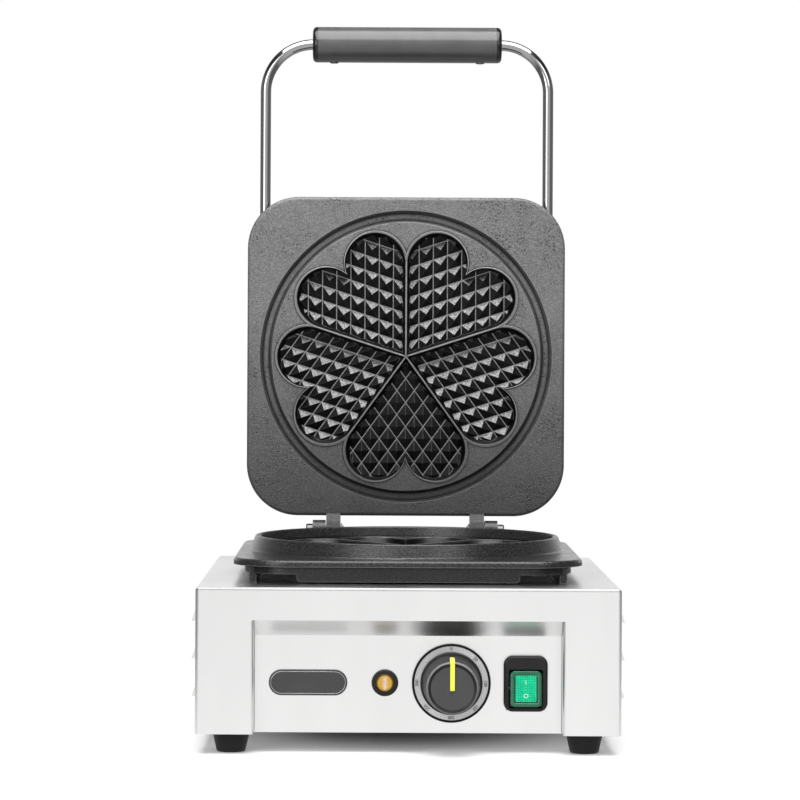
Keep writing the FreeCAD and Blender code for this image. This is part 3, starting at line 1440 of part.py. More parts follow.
def make_lamp():
    bore = "lamp_bore"
    bezel = turned("lamp_bezel", [
        (bore, "0 - lamp_barrel"),
        ("lamp_barrel_dia / 2", "0 - lamp_barrel"),
        ("lamp_barrel_dia / 2", "0"),
        ("lamp_dia / 2", "0"),
        ("lamp_dia / 2", "lamp_rim", "lamp_rim_round"),
        ("lens_dia / 2", "lamp_rim"),
        ("lens_dia / 2", "lens_floor"),
        (bore, "lens_floor"),
    ])
    lens = turned("lamp_lens", [
        ("0", "lens_floor"),
        ("lens_dia / 2", "lens_floor"),
        ("lens_dia / 2", "lamp_rim"),
        ("lens_dia / 2 - lens_rise / 2", "lamp_rim + lens_rise", "lens_rise / 2"),
        ("0", "lamp_rim + lens_rise"),
    ])
    inside = turned("lamp_body", [
        ("0", "0 - lamp_body_length"),
        (f"{bore} - fit_gap", "0 - lamp_body_length"),
        (f"{bore} - fit_gap", "lens_floor"),
        ("0", "lens_floor"),
    ])
    nut = turned("lamp_nut", [
        ("lamp_barrel_dia / 2", "0 - sheet_thick - lamp_nut"),
        ("lamp_nut_dia / 2", "0 - sheet_thick - lamp_nut"),
        ("lamp_nut_dia / 2", "0 - sheet_thick"),
        ("lamp_barrel_dia / 2", "0 - sheet_thick"),
    ])
    for made in (bezel, lens, inside, nut):
        on_panel(made, "lamp_x")


def make_switch():
    case = body("switch_housing")
    outline = sketch(case, "switch_rim_outline", "XY_Plane")
    pad(case, trace(outline, box_points("switch_width", "switch_height", "switch_corner")), "switch_rim")
    rounded(case, "switch_rim_round", lambda edge: level(edge, "switch_rim"))
    outline = sketch(case, "switch_case", "XY_Plane", ("0", "window_y", "0 - switch_depth"))
    sides = "2 * switch_wall"
    pad(case, trace(outline, box_points(f"window_width + {sides}", f"window_height + {sides}")), "switch_depth")
    window = sketch(case, "switch_window", "XY_Plane", ("0", "window_y", "switch_rim"))
    pocket(case, trace(window, box_points("window_width", "window_height", "window_corner")),
           "switch_rim + switch_depth - switch_floor")
    bore = sketch(case, "axle_holes", "YZ_Plane", ("window_width / 2 + switch_wall", "window_y", "axle_rise"))
    pocket(case, circle(bore, "axle_dia + 2 * axle_fit"), "window_width + 2 * switch_wall")
    for x, y, _ in corners_of("blade_spread / 2", "blade_spread / 2"):
        name = f"switch_blade_{'a' if x.startswith('0') else 'b'}{'a' if y.startswith('0') else 'b'}"
        blade = sketch(case, name, "XY_Plane", (x, f"window_y + {y}", "0 - switch_depth"))
        pad(case, trace(blade, box_points("blade_width", "blade_thick")), "blade_length", reverse=True)
    on_panel(piece(case, "switch_housing"), "switch_x")

    rocker = body("switch_rocker")
    width = "window_width - 2 * rocker_gap"
    section = sketch(rocker, "rocker_section", "YZ_Plane", (f"0 - ({width}) / 2", "window_y", "0"))
    pad(rocker, trace(section, [
        ("rocker_taper - rocker_half", "0 - rocker_sink"),
        ("rocker_half - rocker_taper", "0 - rocker_sink"),
        ("rocker_half", "axle_rise"),
        ("rocker_half - rocker_slope", "rocker_low", "rocker_round"),
        ("rocker_chin - rocker_half", "rocker_high", "rocker_round"),
        ("0 - rocker_half", "axle_rise"),
    ]), width)
    axle = sketch(rocker, "rocker_axle", "YZ_Plane",
                  ("0 - window_width / 2 - switch_wall + fit_gap", "window_y", "axle_rise"))
    pad(rocker, circle(axle, "axle_dia"), "window_width + 2 * switch_wall - 2 * fit_gap")
    on_panel(piece(rocker, "switch_rocker"), "switch_x")


def make_badge():
    badge = body("badge_plate")
    outline = sketch(badge, "badge_outline", "XY_Plane")
    points = box_points("badge_width", "badge_height", "badge_height * badge_end_share")
    pad(badge, trace(outline, points), "badge_thick")
    rounded(badge, "badge_round", lambda edge: level(edge, "badge_thick"))
    on_panel(piece(badge, "badge_plate"), "badge_x")


# Cable entries at the back and on the lid, and the terminal block inside.

def gland_points(seat, out):
    """Half sections of a gland and of its nut, with the seat at a height and the nose up or down."""
    gland = [
        ("gland_bore / 2", "0 - gland_thread"),
        ("gland_thread_dia / 2", "0 - gland_thread"),
        ("gland_thread_dia / 2", "0"),
        ("gland_dia / 2", "0"),
        ("gland_dia / 2", "gland_hex"),
        ("gland_nose_dia / 2", "gland_hex + gland_dome", "gland_round"),
        ("gland_bore / 2", "gland_hex + gland_dome"),
    ]
    nut = [
        ("gland_thread_dia / 2", "0 - sheet_thick - gland_nut"),
        ("gland_nut_dia / 2", "0 - sheet_thick - gland_nut"),
        ("gland_nut_dia / 2", "0 - sheet_thick"),
        ("gland_thread_dia / 2", "0 - sheet_thick"),
    ]
    return [[(point[0], f"{seat} {out} ({point[1]})") + point[2:] for point in points] for points in (gland, nut)]


def make_glands():
    gland, nut = gland_points("0", "+")
    for name, x in (("mains_gland", "gland_x"), ("lead_gland", "link_x")):
        place(turned(name, gland), x, "rear_y", "gland_z", "-90")
        place(turned(name + "_nut", nut), x, "rear_y", "gland_z", "-90")
    gland, nut = gland_points("cover_back", "-")
    spots = [("cover_gland_x", "cover_gland_y", "0")]
    on_lid(turned("lid_gland", gland, spots=spots))
    on_lid(turned("lid_gland_nut", nut, spots=spots))
    block = body("terminal_block")
    outline = sketch(block, "block_outline", "XY_Plane", ("gland_x", "block_y", "body_low + sheet_thick"))
    pad(block, trace(outline, box_points("block_width", "block_depth", "block_hole_dia / 2")), "block_height")
    hole = sketch(block, "block_hole", "XY_Plane",
                  ("gland_x - block_step * (block_holes - 1) / 2", "block_y",
                   "body_low + sheet_thick + block_height"))
    cut = pocket(block, circle(hole, "block_hole_dia"), "block_height / 2")
    row_of(block, [cut], "X_Axis", "block_holes", "block_step")
    piece(block, "terminal_block")


make_base_shell()
make_control_panel()
make_rear_panel()
make_bottom_cover()
make_housing_screws()
make_feet()
heart_parts = (make_heart_rim(), make_heart_well())
make_lower_plate(heart_parts)
make_plate_bolts()
make_upper_plate(heart_parts)
make_lid_cover()
make_handle()
make_heaters()
make_heat_shield()
make_hinge()
make_dial()
make_knob()
make_thermostat()
make_lamp()
make_switch()
make_badge()
make_glands()
doc.recompute()

faulty = [thing.Name for thing in doc.Objects if {"Invalid", "Error"} & set(thing.State)]
if faulty:
    raise ValueError(f"not built: {faulty}")
for made in PIECES:
    if made.Shape.isNull() or not made.Shape.isValid() or not made.Shape.Solids:
        raise ValueError(f"{made.Label} has no sound shape")
os.makedirs("parts", exist_ok=True)
for made in PIECES:
    made.Shape.exportStep(f"parts/{made.Label}.step")
    print(made.Label, len(made.Shape.Solids), round(made.Shape.Volume))
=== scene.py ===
import bmesh
import bpy
import json
import math
from mathutils import Matrix, Vector


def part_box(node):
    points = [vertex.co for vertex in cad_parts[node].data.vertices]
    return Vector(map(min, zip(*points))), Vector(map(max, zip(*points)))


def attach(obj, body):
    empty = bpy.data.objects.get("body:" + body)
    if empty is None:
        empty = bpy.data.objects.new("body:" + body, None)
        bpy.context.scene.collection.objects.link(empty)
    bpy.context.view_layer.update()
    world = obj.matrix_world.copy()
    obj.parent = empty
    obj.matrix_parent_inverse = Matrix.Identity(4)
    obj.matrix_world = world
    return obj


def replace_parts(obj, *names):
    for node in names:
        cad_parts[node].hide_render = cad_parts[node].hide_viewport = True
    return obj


# Heart waffle maker with its lid open: looks, marks, light and camera. Lengths are in metres.

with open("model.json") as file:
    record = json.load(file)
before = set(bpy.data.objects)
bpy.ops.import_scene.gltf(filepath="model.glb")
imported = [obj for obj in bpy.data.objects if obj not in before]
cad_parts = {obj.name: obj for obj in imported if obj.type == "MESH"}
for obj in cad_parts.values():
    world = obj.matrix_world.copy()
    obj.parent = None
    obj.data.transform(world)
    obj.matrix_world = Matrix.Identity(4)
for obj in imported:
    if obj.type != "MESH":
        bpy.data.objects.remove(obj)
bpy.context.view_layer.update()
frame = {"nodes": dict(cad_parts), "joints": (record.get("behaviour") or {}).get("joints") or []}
nodes = frame["nodes"]
hinge = Vector(next(joint["pos_m"] for joint in frame["joints"] if joint["name"] == "lid_hinge"))
knob_axis = Vector(next(joint["pos_m"] for joint in frame["joints"] if joint["name"] == "knob_turn"))

# Camera, from the vanishing point and the edges of the housing; the picture is in pixels.
PICTURE_SIDE = 800
PICTURE_FOCAL = 3129
SIGHT_PIXEL = (375.4, 342.1)
SENSOR_MM = 36.0
CAMERA_AHEAD = 2.0515
CAMERA_SIDE = -0.0227
CAMERA_HEIGHT = 0.2713
CAMERA_ROLL = math.radians(0.29)
CAMERA_NEAR = 0.05

# Sheet steel, which has a softbox of its own.
HOUSING = ("base_shell", "control_panel", "rear_panel", "bottom_cover")
SHEETS = HOUSING + ("lid_cover",)

# Softboxes: watts, size, place, aim, and whether the sheet steel is all that they light or left out.
SOFTBOXES = {
    "top_softbox": (58.0, (1.6, 1.9), (0.0, -0.72, 1.50), (0.0, -0.72, 0.0), "EXCLUDE"),
    "sheet_softbox": (24.0, (2.4, 3.2), (0.0, -0.1, 1.50), (0.0, -0.1, 0.0), "INCLUDE"),
    "left_softbox": (17.0, (1.0, 1.2), (-1.1, -1.9, 0.72), (0.0, 0.0, 0.2), "EXCLUDE"),
    "right_softbox": (6.0, (0.6, 0.6), (1.2, -1.9, 1.10), (0.0, 0.0, 0.2), "EXCLUDE"),
}

# World in reflections: where its level falls off, and from what to what; then the fill elsewhere.
WORLD_SIDE_FADE = (0.45, 0.80, 1.0, 0.30)
WORLD_TOP_FADE = (0.26, 0.52, 1.0, 0.15)
WORLD_FILL = 0.25

# Floor: its shadow fades out with distance, and its reflection dims beside and behind the object and is dark
# near it, a painted shadow.
FLOOR_SIDE = 12.0
FLOOR_FADE = (0.14, 0.62)
FLOOR_BOUNCE = 0.15
FLOOR_MIRROR_FADE = (0.07, 0.17)
FLOOR_SIDE_FADE = (0.30, 0.70)
FLOOR_BACK_FADE = (-0.10, 0.10)
FLOOR_SIDE_DIM = 0.25
FLOOR_BACK_DIM = 0.60

# Shares of a noise, or of the sum of two, that a look is spread over.
NARROW_BAND = (0.35, 0.65)
WIDE_BAND = (0.3, 0.7)
SUM_BAND = (0.7, 1.3)

# Noises by their scale per metre.
FINE_SCALE = 1500.0
GRAIN_SCALE = 1000.0
SATIN_SCALE = 900.0
BRUSH_SCALE = 800.0
PIT_SCALE = 420.0
RIB_SCALE = 720.0
CLOUD_SCALE = 70.0
PATCH_SCALE = 38.0

# Steel: the grain of each kind by its scale along the axes, small where the grain runs.
SHEET_GRAIN = (14.0, 1500.0, 1500.0)
COVER_GRAIN = (14.0, 900.0, 900.0)
PLATED_GRAIN = (400.0, 400.0, 400.0)
TUBE_GRAIN = (300.0, 300.0, 300.0)
ROD_GRAIN = (60.0, 60.0, 60.0)

# Steel: the stretch of its clouds, the tone of the darker ones, and the height of its grain.
STEEL_CLOUDS = (24.0, 10.0, 5.0)
STEEL_TINT = 0.92
STEEL_RELIEF = 0.00002
STEEL_EDGE = 0.0004

# Castings.
FACE_DROP = 0.0017
LAND_GAP = 0.0020
HEART_REACH = 0.0985
PLATE_HALF = 0.11825
HINGE_OFFSET = 0.0103
WELL_START = 0.0002
WELL_BLEND = 0.0012
WELL_LEAN = 0.28
WELL_SHINE = 0.40
CAST_EDGE = 0.0005
CAST_RELIEF = 0.00042
# Reach of the paler edges of the castings: partly wear, partly a painted highlight.
WEAR_AND_HIGHLIGHT_REACH = 0.0011
# Reach of the painted shade in creases and grooves.
SHADE_CREASE_REACH = 0.0024

# The heights between which painted shade darkens the lid's face downwards, and the share of its colour that is
# left.
LID_PAINTED_SHADE = (hinge.z, hinge.z + 0.17, 0.25)

# Castings' tones: dark, light, speckled and bare; the bare tone on edges is partly wear and partly a painted
# highlight.
UPPER_TONES = (0.085, 0.125, 0.20, 0.34)
# The lower casting is the same iron in much darker tones: painted shade.
LOWER_SHADED_TONES = (0.010, 0.018, 0.05, 0.15)

# Mouldings.
MOULD_EDGE = 0.0004
MOULD_RELIEF = 0.00004
MOULD_TINT = 0.86
CLEAR_INDEX = 1.49

# Grip.
GRIP_END = 0.0044
GRIP_ROUND = 0.0032
GRIP_STEPS = 8
GRIP_SEGMENTS = 64

# Knob face, from its middle out, the width of its lines, and the depth of its edge; its lines are painted shade
# on the step and a painted highlight on the rim.
KNOB_STEP = 0.0139
KNOB_RIM = 0.0158
KNOB_LINE = 0.0003
KNOB_EDGE = 0.0014

# Dial and its marks.
DIAL_RIM = 0.0010
DIAL_RIM_BAND = (0.0017, 0.0014)
DIAL_TEXT = 0.0030
DIAL_TEXT_RADIUS = 0.0226
DIAL_NUMBERS = ("0", "50", "100", "150", "200", "250", "300")
DIAL_STEP = math.radians(45)
MARK_THICK = 0.00006
MARK_SPREAD = 0.00005

# Rocker face, from its lower to its upper front edge; the boot's rings are insets and levels.
ROCKER_CHIN = 0.0012
ROCKER_SLOPE = 0.0040
ROCKER_FALL = 0.0032
BOOT_SIZE = (0.0200, 0.0234)
BOOT_RISE = 0.0017
BOOT_ROUND = 0.0029
BOOT_RINGS = ((0.0, -0.0045), (0.0, 0.0001), (0.00015, 0.0004), (0.0005, 0.00055), (0.0018, 0.00055),
              (0.0022, 0.0004), (0.0024, 0.00015))
WINDOW_SIZE = (0.0139, 0.0172)
WINDOW_ROUND = 0.0009
WINDOW_LIFT = 0.0003
WINDOW_PITCH = 0.0015
ROCKER_MARK = 0.0026
ROCKER_MARK_LINE = 0.00042
ROCKER_MARK_POINTS = 12
MARK_ON_SHARE = 0.25
MARK_OFF_SHARE = -0.27

# Badge rim.
BADGE_RIM = 0.00026
BADGE_SINK = 0.8
BADGE_INSET = 0.0013
BADGE_STEPS = 16

# Corners sharper than these stay crisp.
CAD_CREASE = math.radians(28)
GRIP_CREASE = math.radians(40)
BOOT_CREASE = math.radians(50)


def input_of(shader, name):
    """A shader's socket by its name."""
    return next(socket for socket in shader.inputs if socket.name == name)


def grey(tone):
    """A neutral colour."""
    return (tone, tone, tone)


def toned(colour, share):
    """A darker or lighter shade of a colour."""
    return tuple(share * part for part in colour)


class Nodes:
    """Short ways to make and link the shader nodes of one tree."""

    def __init__(self, tree):
        self.tree = tree

    def node(self, kind, **settings):
        made = self.tree.nodes.new(kind)
        for name, value in settings.items():
            setattr(made, name, value)
        return made

    def feed(self, target, source):
        """Sets a socket to a number, a colour or another node's output."""
        if isinstance(source, bpy.types.NodeSocket):
            self.tree.links.new(source, target)
        else:
            target.default_value = source

    def sum(self, kind, *terms):
        made = self.node("ShaderNodeMath", operation=kind)
        for socket, term in zip(made.inputs, terms):
            self.feed(socket, term)
        return made.outputs[0]

    def along(self, vector, letter):
        """One part of a vector."""
        split = self.node("ShaderNodeSeparateXYZ")
        self.feed(split.inputs[0], vector)
        return split.outputs[letter]

    def range(self, value, low, high, to_low=0.0, to_high=1.0):
        made = self.node("ShaderNodeMapRange", clamp=True)
        for socket, term in zip(made.inputs, (value, low, high, to_low, to_high)):
            self.feed(socket, term)
        return made.outputs[0]

    def blend(self, share, first, second):
        made = self.node("ShaderNodeMixShader")
        for socket, term in zip(made.inputs, (share, first, second)):
            self.feed(socket, term)
        return made.outputs[0]

    def mirrored(self, paths):
        """One for rays that come off or through a surface."""
        return self.sum("MAXIMUM", paths.outputs["Is Glossy Ray"], paths.outputs["Is Transmission Ray"])


class Look(Nodes):
    """A node material around one principled shader, textured in the object's own metres."""

    def __init__(self, name, colour, roughness, **settings):
        self.material = bpy.data.materials.new(name)
        self.material.use_nodes = True
        super().__init__(self.material.node_tree)
        self.shader = self.tree.nodes["Principled BSDF"]
        self.set("Base Color", colour + (1.0,))
        self.set("Roughness", roughness)
        for socket, value in settings.items():
            self.set(socket.replace("_", " "), value)
        self.place = self.node("ShaderNodeTexCoord").outputs["Object"]
        self.material.diffuse_color = colour + (1.0,)

    def set(self, socket, source):
        self.feed(input_of(self.shader, socket), source)

    def axis(self, letter):
        return self.along(self.place, letter)

    def stretched(self, scale):
        """The object's coordinates, scaled along each axis."""
        made = self.node("ShaderNodeMapping")
        self.feed(made.inputs["Vector"], self.place)
        self.feed(made.inputs["Scale"], scale)
        return made.outputs[0]

    def noise(self, scale, detail=3.0, rough=0.55, place=None):
        made = self.node("ShaderNodeTexNoise")
        self.feed(made.inputs["Vector"], place or self.place)
        self.feed(made.inputs["Scale"], scale)
        self.feed(made.inputs["Detail"], detail)
        self.feed(made.inputs["Roughness"], rough)
        return made.outputs["Fac"]

    def distance(self, centre):
        """How far a spot is from an axis, given as its place along the two other axes."""
        sides = [self.sum("SUBTRACT", self.axis(letter), place) for letter, place in centre.items()]
        return self.sum("SQRT", self.sum("ADD", *[self.sum("MULTIPLY", side, side) for side in sides]))

    def cells(self, scale):
        made = self.node("ShaderNodeTexVoronoi")
        self.feed(made.inputs["Vector"], self.place)
        self.feed(made.inputs["Scale"], scale)
        return made.outputs["Distance"]

    def nearness(self, reach, inward):
        """How closed in a spot is within a reach: outside it in corners, inside it at edges."""
        made = self.node("ShaderNodeAmbientOcclusion", samples=8, inside=inward, only_local=True)
        self.feed(made.inputs["Distance"], reach)
        return self.sum("SUBTRACT", 1.0, made.outputs["AO"])

    def mix(self, share, first, second):
        made = self.node("ShaderNodeMix", data_type="RGBA")
        self.feed(made.inputs["Factor"], share)
        for name, colour in (("A", first), ("B", second)):
            socket = next(s for s in made.inputs if s.name == name and s.type == "RGBA")
            self.feed(socket, colour if isinstance(colour, bpy.types.NodeSocket) else colour + (1.0,))
        return next(s for s in made.outputs if s.type == "RGBA")

    def scaled(self, colour, share):
        made = self.node("ShaderNodeVectorMath", operation="SCALE")
        self.feed(made.inputs[0], colour)
        self.feed(made.inputs["Scale"], share)
        return made.outputs[0]

    def softened(self, edge):
        """The surface's direction, rounded over within a radius of its corners."""
        made = self.node("ShaderNodeBevel", samples=6)
        self.feed(made.inputs["Radius"], edge)
        return made.outputs[0]

    def turned(self, normal, start, end):
        """A direction carried from the world's axes to the object's, or back."""
        made = self.node("ShaderNodeVectorTransform", vector_type="NORMAL", convert_from=start, convert_to=end)
        self.feed(made.inputs[0], normal)
        return made.outputs[0]

    def facing(self, normal, letter):
        """How far a direction points along one of the object's own axes."""
        return self.along(self.turned(normal, "WORLD", "OBJECT"), letter)

    def leaning(self, normal, share, direction):
        """A direction turned part of the way to another, given along the object's own axes."""
        mixed = self.node("ShaderNodeMix", data_type="VECTOR")
        self.feed(mixed.inputs["Factor"], share)
        for name, source in (("A", normal), ("B", self.turned(direction, "OBJECT", "WORLD"))):
            self.feed(next(s for s in mixed.inputs if s.name == name and s.type == "VECTOR"), source)
        unit = self.node("ShaderNodeVectorMath", operation="NORMALIZE")
        self.feed(unit.inputs[0], next(s for s in mixed.outputs if s.type == "VECTOR"))
        return unit.outputs[0]

    def bump(self, height, distance, strength=1.0, normal=None):
        """Raises the surface by a height map, over its own or a given direction."""
        made = self.node("ShaderNodeBump")
        self.feed(made.inputs["Height"], height)
        self.feed(made.inputs["Distance"], distance)
        self.feed(made.inputs["Strength"], strength)
        if normal:
            self.feed(made.inputs["Normal"], normal)
        self.set("Normal", made.outputs[0])

    def glow(self, shade, strength):
        """Gives the surface one colour, in which it also shines faintly."""
        self.set("Base Color", shade)
        self.set("Emission Color", shade)
        self.set("Emission Strength", strength)


def steel(name, colour, roughness, grain, relief=0.03, edge=STEEL_EDGE):
    """Sheet with a fine rolling grain along the axes where the grain's scale is small."""
    look = Look(name, colour, roughness, Metallic=1.0)
    lines = look.noise(1.0, detail=4.0, rough=0.6, place=look.stretched(grain))
    cloud = look.noise(1.0, detail=2.0, rough=0.5, place=look.stretched(STEEL_CLOUDS))
    look.set("Roughness", look.range(cloud, *WIDE_BAND, roughness * 0.85, roughness * 1.2))
    look.set("Base Color", look.mix(look.range(cloud, *NARROW_BAND), toned(colour, STEEL_TINT), colour))
    look.bump(lines, STEEL_RELIEF, relief, look.softened(edge) if edge else None)
    return look.material


def casting(name, depth_axis, depth_start, depth_sign, centre, highlit_side, tones, shine, relief, painted_shade=None):
    """Seasoned iron: grainy faces with painted shade in their creases and edges paled partly by wear and partly
    by a painted highlight, and wells whose upper facets carry a painted highlight.
    """
    dark, light, speckle, bare = [(tone, tone, tone * 1.01) for tone in tones]
    look = Look(name, light, shine, Specular_IOR_Level=0.5)
    soft = look.softened(CAST_EDGE)

    # Faces, from their patches to the painted shade in their creases.
    grain = look.noise(GRAIN_SCALE, rough=0.6)
    patch = look.noise(PATCH_SCALE)
    sparse = look.range(patch, 0.40, 0.62, 0.0, 0.25)
    pits = look.range(look.sum("ADD", look.cells(PIT_SCALE), sparse), 0.12, 0.34)
    face = look.mix(look.range(patch, *WIDE_BAND), dark, light)
    speck = look.mix(look.range(grain, 0.42, 0.68), face, speckle)
    pitted = look.mix(pits, grey(0.012), speck)
    # Edges turn paler: partly wear, partly a painted highlight.
    wear_and_highlight = look.mix(look.range(look.nearness(WEAR_AND_HIGHLIGHT_REACH, True), 0.16, 0.46), pitted, bare)
    # Creases and grooves turn near black: painted shade.
    crease_shaded = look.mix(look.range(look.nearness(SHADE_CREASE_REACH, False), 0.05, 0.25), wear_and_highlight, grey(0.005))
    # Darker towards the bottom of the lid's face: painted shade.
    if painted_shade:
        start, end, least = painted_shade
        crease_shaded = look.scaled(crease_shaded, look.range(look.axis("Z"), start, end, least, 1.0))

    # Wells: painted glints on the flats, a painted highlight on the upper facets, and black facets that look
    # down, which is painted shade.
    depth = look.sum("MULTIPLY", look.sum("SUBTRACT", look.axis(depth_axis), depth_start), depth_sign)
    deep = look.range(depth, WELL_START, WELL_BLEND)
    inside = look.range(look.distance(centre), HEART_REACH, HEART_REACH - WELL_BLEND)
    well = look.sum("MULTIPLY", deep, inside)
    up_axis, up_sign = highlit_side
    upper = look.range(look.sum("MULTIPLY", look.facing(soft, up_axis), up_sign), 0.44, 0.58)
    level = look.sum("ABSOLUTE", look.facing(soft, depth_axis))
    sloping = look.sum("MULTIPLY", upper, look.range(level, 0.30, 0.46))
    flat = look.range(level, 0.86, 0.97, 0.0, 0.7)
    mottle = look.range(look.noise(BRUSH_SCALE, rough=0.65), 0.36, 0.64)
    # The flats in the wells are painted pale: painted glints.
    flat_glints = look.mix(mottle, grey(0.17), (0.36, 0.36, 0.362))
    # Upper facets take these lighter tones, a painted highlight; the rest take near black, painted shade.
    bright = look.mix(mottle, grey(0.045), (0.17, 0.17, 0.171))
    facets = look.mix(flat, look.mix(sloping, grey(0.022), bright), flat_glints)

    look.set("Base Color", look.mix(well, crease_shaded, facets))
    look.set("Metallic", look.range(well, 0.0, 1.0, 0.3, 1.0))
    look.set("Roughness", look.range(look.sum("ADD", well, patch), 0.3, 1.5, shine, WELL_SHINE))
    height = look.sum("ADD", grain, look.sum("MULTIPLY", pits, 0.7))
    outward = tuple(-depth_sign if letter == depth_axis else 0.0 for letter in "XYZ")
    shading = look.leaning(soft, look.range(well, 0.0, 1.0, 0.0, WELL_LEAN), outward)
    look.bump(height, CAST_RELIEF, look.range(well, 0.0, 1.0, relief, 0.04), shading)
    return look.material


def moulding(name, colour, roughness, grain=FINE_SCALE, edge=MOULD_EDGE, **settings):
    """Plastic or rubber with a fine moulded grain and a slight change of tone."""
    look = Look(name, colour, roughness, **settings)
    fine = look.noise(grain)
    cloud = look.noise(CLOUD_SCALE, detail=2.0)
    look.set("Base Color", look.mix(look.range(cloud, *NARROW_BAND), toned(colour, MOULD_TINT), colour))
    uneven = look.sum("ADD", fine, cloud)
    look.set("Roughness", look.range(uneven, *SUM_BAND, roughness * 0.85, roughness * 1.15))
    look.bump(fine, MOULD_RELIEF, 0.35, look.softened(edge) if edge else None)
    return look.material


def lens(name, node, colour, glow, strength):
    """Coloured clear moulding, ribbed and lit behind, with a painted highlight streak down its middle, darker
    towards its edge.
    """
    look = Look(name, colour, 0.14, Transmission_Weight=0.25, IOR=CLEAR_INDEX)
    low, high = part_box(node)
    reach = (high.x - low.x) / 2
    middle = (low + high) / 2
    radius = look.distance({"X": middle.x, "Z": middle.z})
    ribs = look.range(look.cells(RIB_SCALE), 0.15, 0.55)
    # The streak down the middle, in the glow colour, is a painted highlight.
    side = look.sum("ABSOLUTE", look.sum("SUBTRACT", look.axis("X"), middle.x))
    highlight_streak = look.range(side, 0.08 * reach, 0.40 * reach, 1.0, 0.0)
    highlight_core = look.sum("MULTIPLY", highlight_streak, look.range(radius, 0.55 * reach, 0.80 * reach, 1.0, 0.0))
    bright = look.sum("MULTIPLY", highlight_core, look.range(ribs, 0.0, 1.0, 0.2, 1.0))
    edge = look.range(radius, 0.70 * reach, 0.90 * reach)
    body = look.mix(edge, colour, toned(colour, 0.20))
    look.glow(look.mix(bright, body, glow), strength)
    look.bump(ribs, 0.0003, 0.5, look.softened(0.0003))
    return look.material


def tinted(name, colour, edges, strength):
    """Coloured clear moulding, cloudy, with a painted highlight on its edges and a faint light behind it."""
    look = Look(name, colour, 0.18, Transmission_Weight=0.2, IOR=CLEAR_INDEX)
    cloud = look.noise(240.0, detail=2.0)
    body = look.mix(look.range(cloud, *WIDE_BAND), toned(colour, 0.8), colour)
    # Paler edges: painted highlight.
    look.glow(look.mix(look.range(look.nearness(0.0009, True), 0.20, 0.50), body, edges), strength)
    look.bump(look.noise(FINE_SCALE), MOULD_RELIEF, 0.2, look.softened(0.0005))
    return look.material


def lit_grid(name, colour, line, strength, pitch):
    """A lit window with a fine square grid moulded behind it."""
    look = Look(name, colour, 0.25, Specular_IOR_Level=0.2)
    waves = [look.sum("SINE", look.sum("MULTIPLY", look.axis(letter), math.tau / pitch)) for letter in "XZ"]
    grid = look.range(look.sum("MAXIMUM", *waves), 0.55, 0.95)
    cloud = look.range(look.noise(260.0), *NARROW_BAND)
    tone = look.mix(cloud, toned(colour, 0.92), toned(colour, 1.4))
    look.glow(look.mix(grid, tone, line), strength)
    look.bump(grid, 0.00008, 0.3)
    return look.material


def grip_look():
    """Glossy phenolic with a fine cloud and blacker moulded ends."""
    look = Look("grip_phenolic", (0.075, 0.075, 0.077), 0.22)
    low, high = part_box("handle_grip")
    off_centre = look.sum("ABSOLUTE", look.sum("SUBTRACT", look.axis("X"), (low.x + high.x) / 2))
    reach = (high.x - low.x) / 2
    end = look.range(off_centre, reach - GRIP_END, reach - 0.8 * GRIP_END)
    cloud = look.noise(CLOUD_SCALE, detail=2.0)
    body = look.mix(look.range(cloud, *NARROW_BAND), (0.068, 0.068, 0.070), (0.080, 0.080, 0.082))
    look.set("Base Color", look.mix(end, body, grey(0.006)))
    look.set("Roughness", look.range(look.noise(SATIN_SCALE), *WIDE_BAND, 0.19, 0.25))
    return look.material


def knob_look():
    """Moulded plastic: a painted highlight on its rounded edge with painted shade on the step inside it, round
    a plain face, and painted shade on the skirt.
    """
    look = Look("knob_plastic", (0.052, 0.052, 0.053), 0.40, Specular_IOR_Level=0.25)
    face_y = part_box("control_knob")[0].y
    radius = look.distance({"X": knob_axis.x, "Z": knob_axis.z})
    # The skirt behind the face is near black: painted shade.
    front = look.range(look.axis("Y"), face_y + KNOB_EDGE, face_y + 0.8 * KNOB_EDGE)
    # A pale line past the rim is a painted highlight; the near-black band from step to rim is painted shade.
    edge = look.mix(look.range(radius, KNOB_RIM, KNOB_RIM + KNOB_LINE), grey(0.010), (0.19, 0.19, 0.191))
    face = look.mix(look.range(radius, KNOB_STEP, KNOB_STEP + KNOB_LINE), (0.072, 0.072, 0.073), edge)
    cloud = look.range(look.noise(CLOUD_SCALE, detail=2.0), *NARROW_BAND, 0.88, 1.0)
    look.set("Base Color", look.scaled(look.mix(front, (0.010, 0.010, 0.0102), face), cloud))
    fine = look.noise(FINE_SCALE)
    look.set("Roughness", look.range(fine, *WIDE_BAND, 0.36, 0.44))
    look.bump(fine, MOULD_RELIEF, 0.3, look.softened(MOULD_EDGE))
    return look.material


def dial_look():
    """Satin ring, turned about its middle, with a dark raised rim."""
    look = Look("dial_satin", (0.42, 0.42, 0.43), 0.32, Metallic=0.85, Anisotropic=0.7)
    low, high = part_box("dial_ring")
    reach = (high.x - low.x) / 2
    turned = look.node("ShaderNodeTangent", direction_type="RADIAL", axis="Y")
    look.set("Tangent", turned.outputs[0])
    radius = look.distance({"X": knob_axis.x, "Z": knob_axis.z})
    rim = look.range(radius, *[reach - inset for inset in DIAL_RIM_BAND])
    fine = look.noise(SATIN_SCALE)
    satin = look.mix(look.range(fine, *NARROW_BAND), (0.44, 0.44, 0.45), (0.56, 0.56, 0.57))
    look.set("Base Color", look.mix(rim, satin, grey(0.012)))
    look.set("Roughness", look.range(fine, *WIDE_BAND, 0.28, 0.40))
    look.bump(fine, 0.00003, 0.3, look.softened(0.0003))
    return look.material


def wear(node_names, material):
    """Gives nodes of the frame one material."""
    for name in node_names:
        slots = nodes[name].data.materials
        slots.clear()
        slots.append(material)


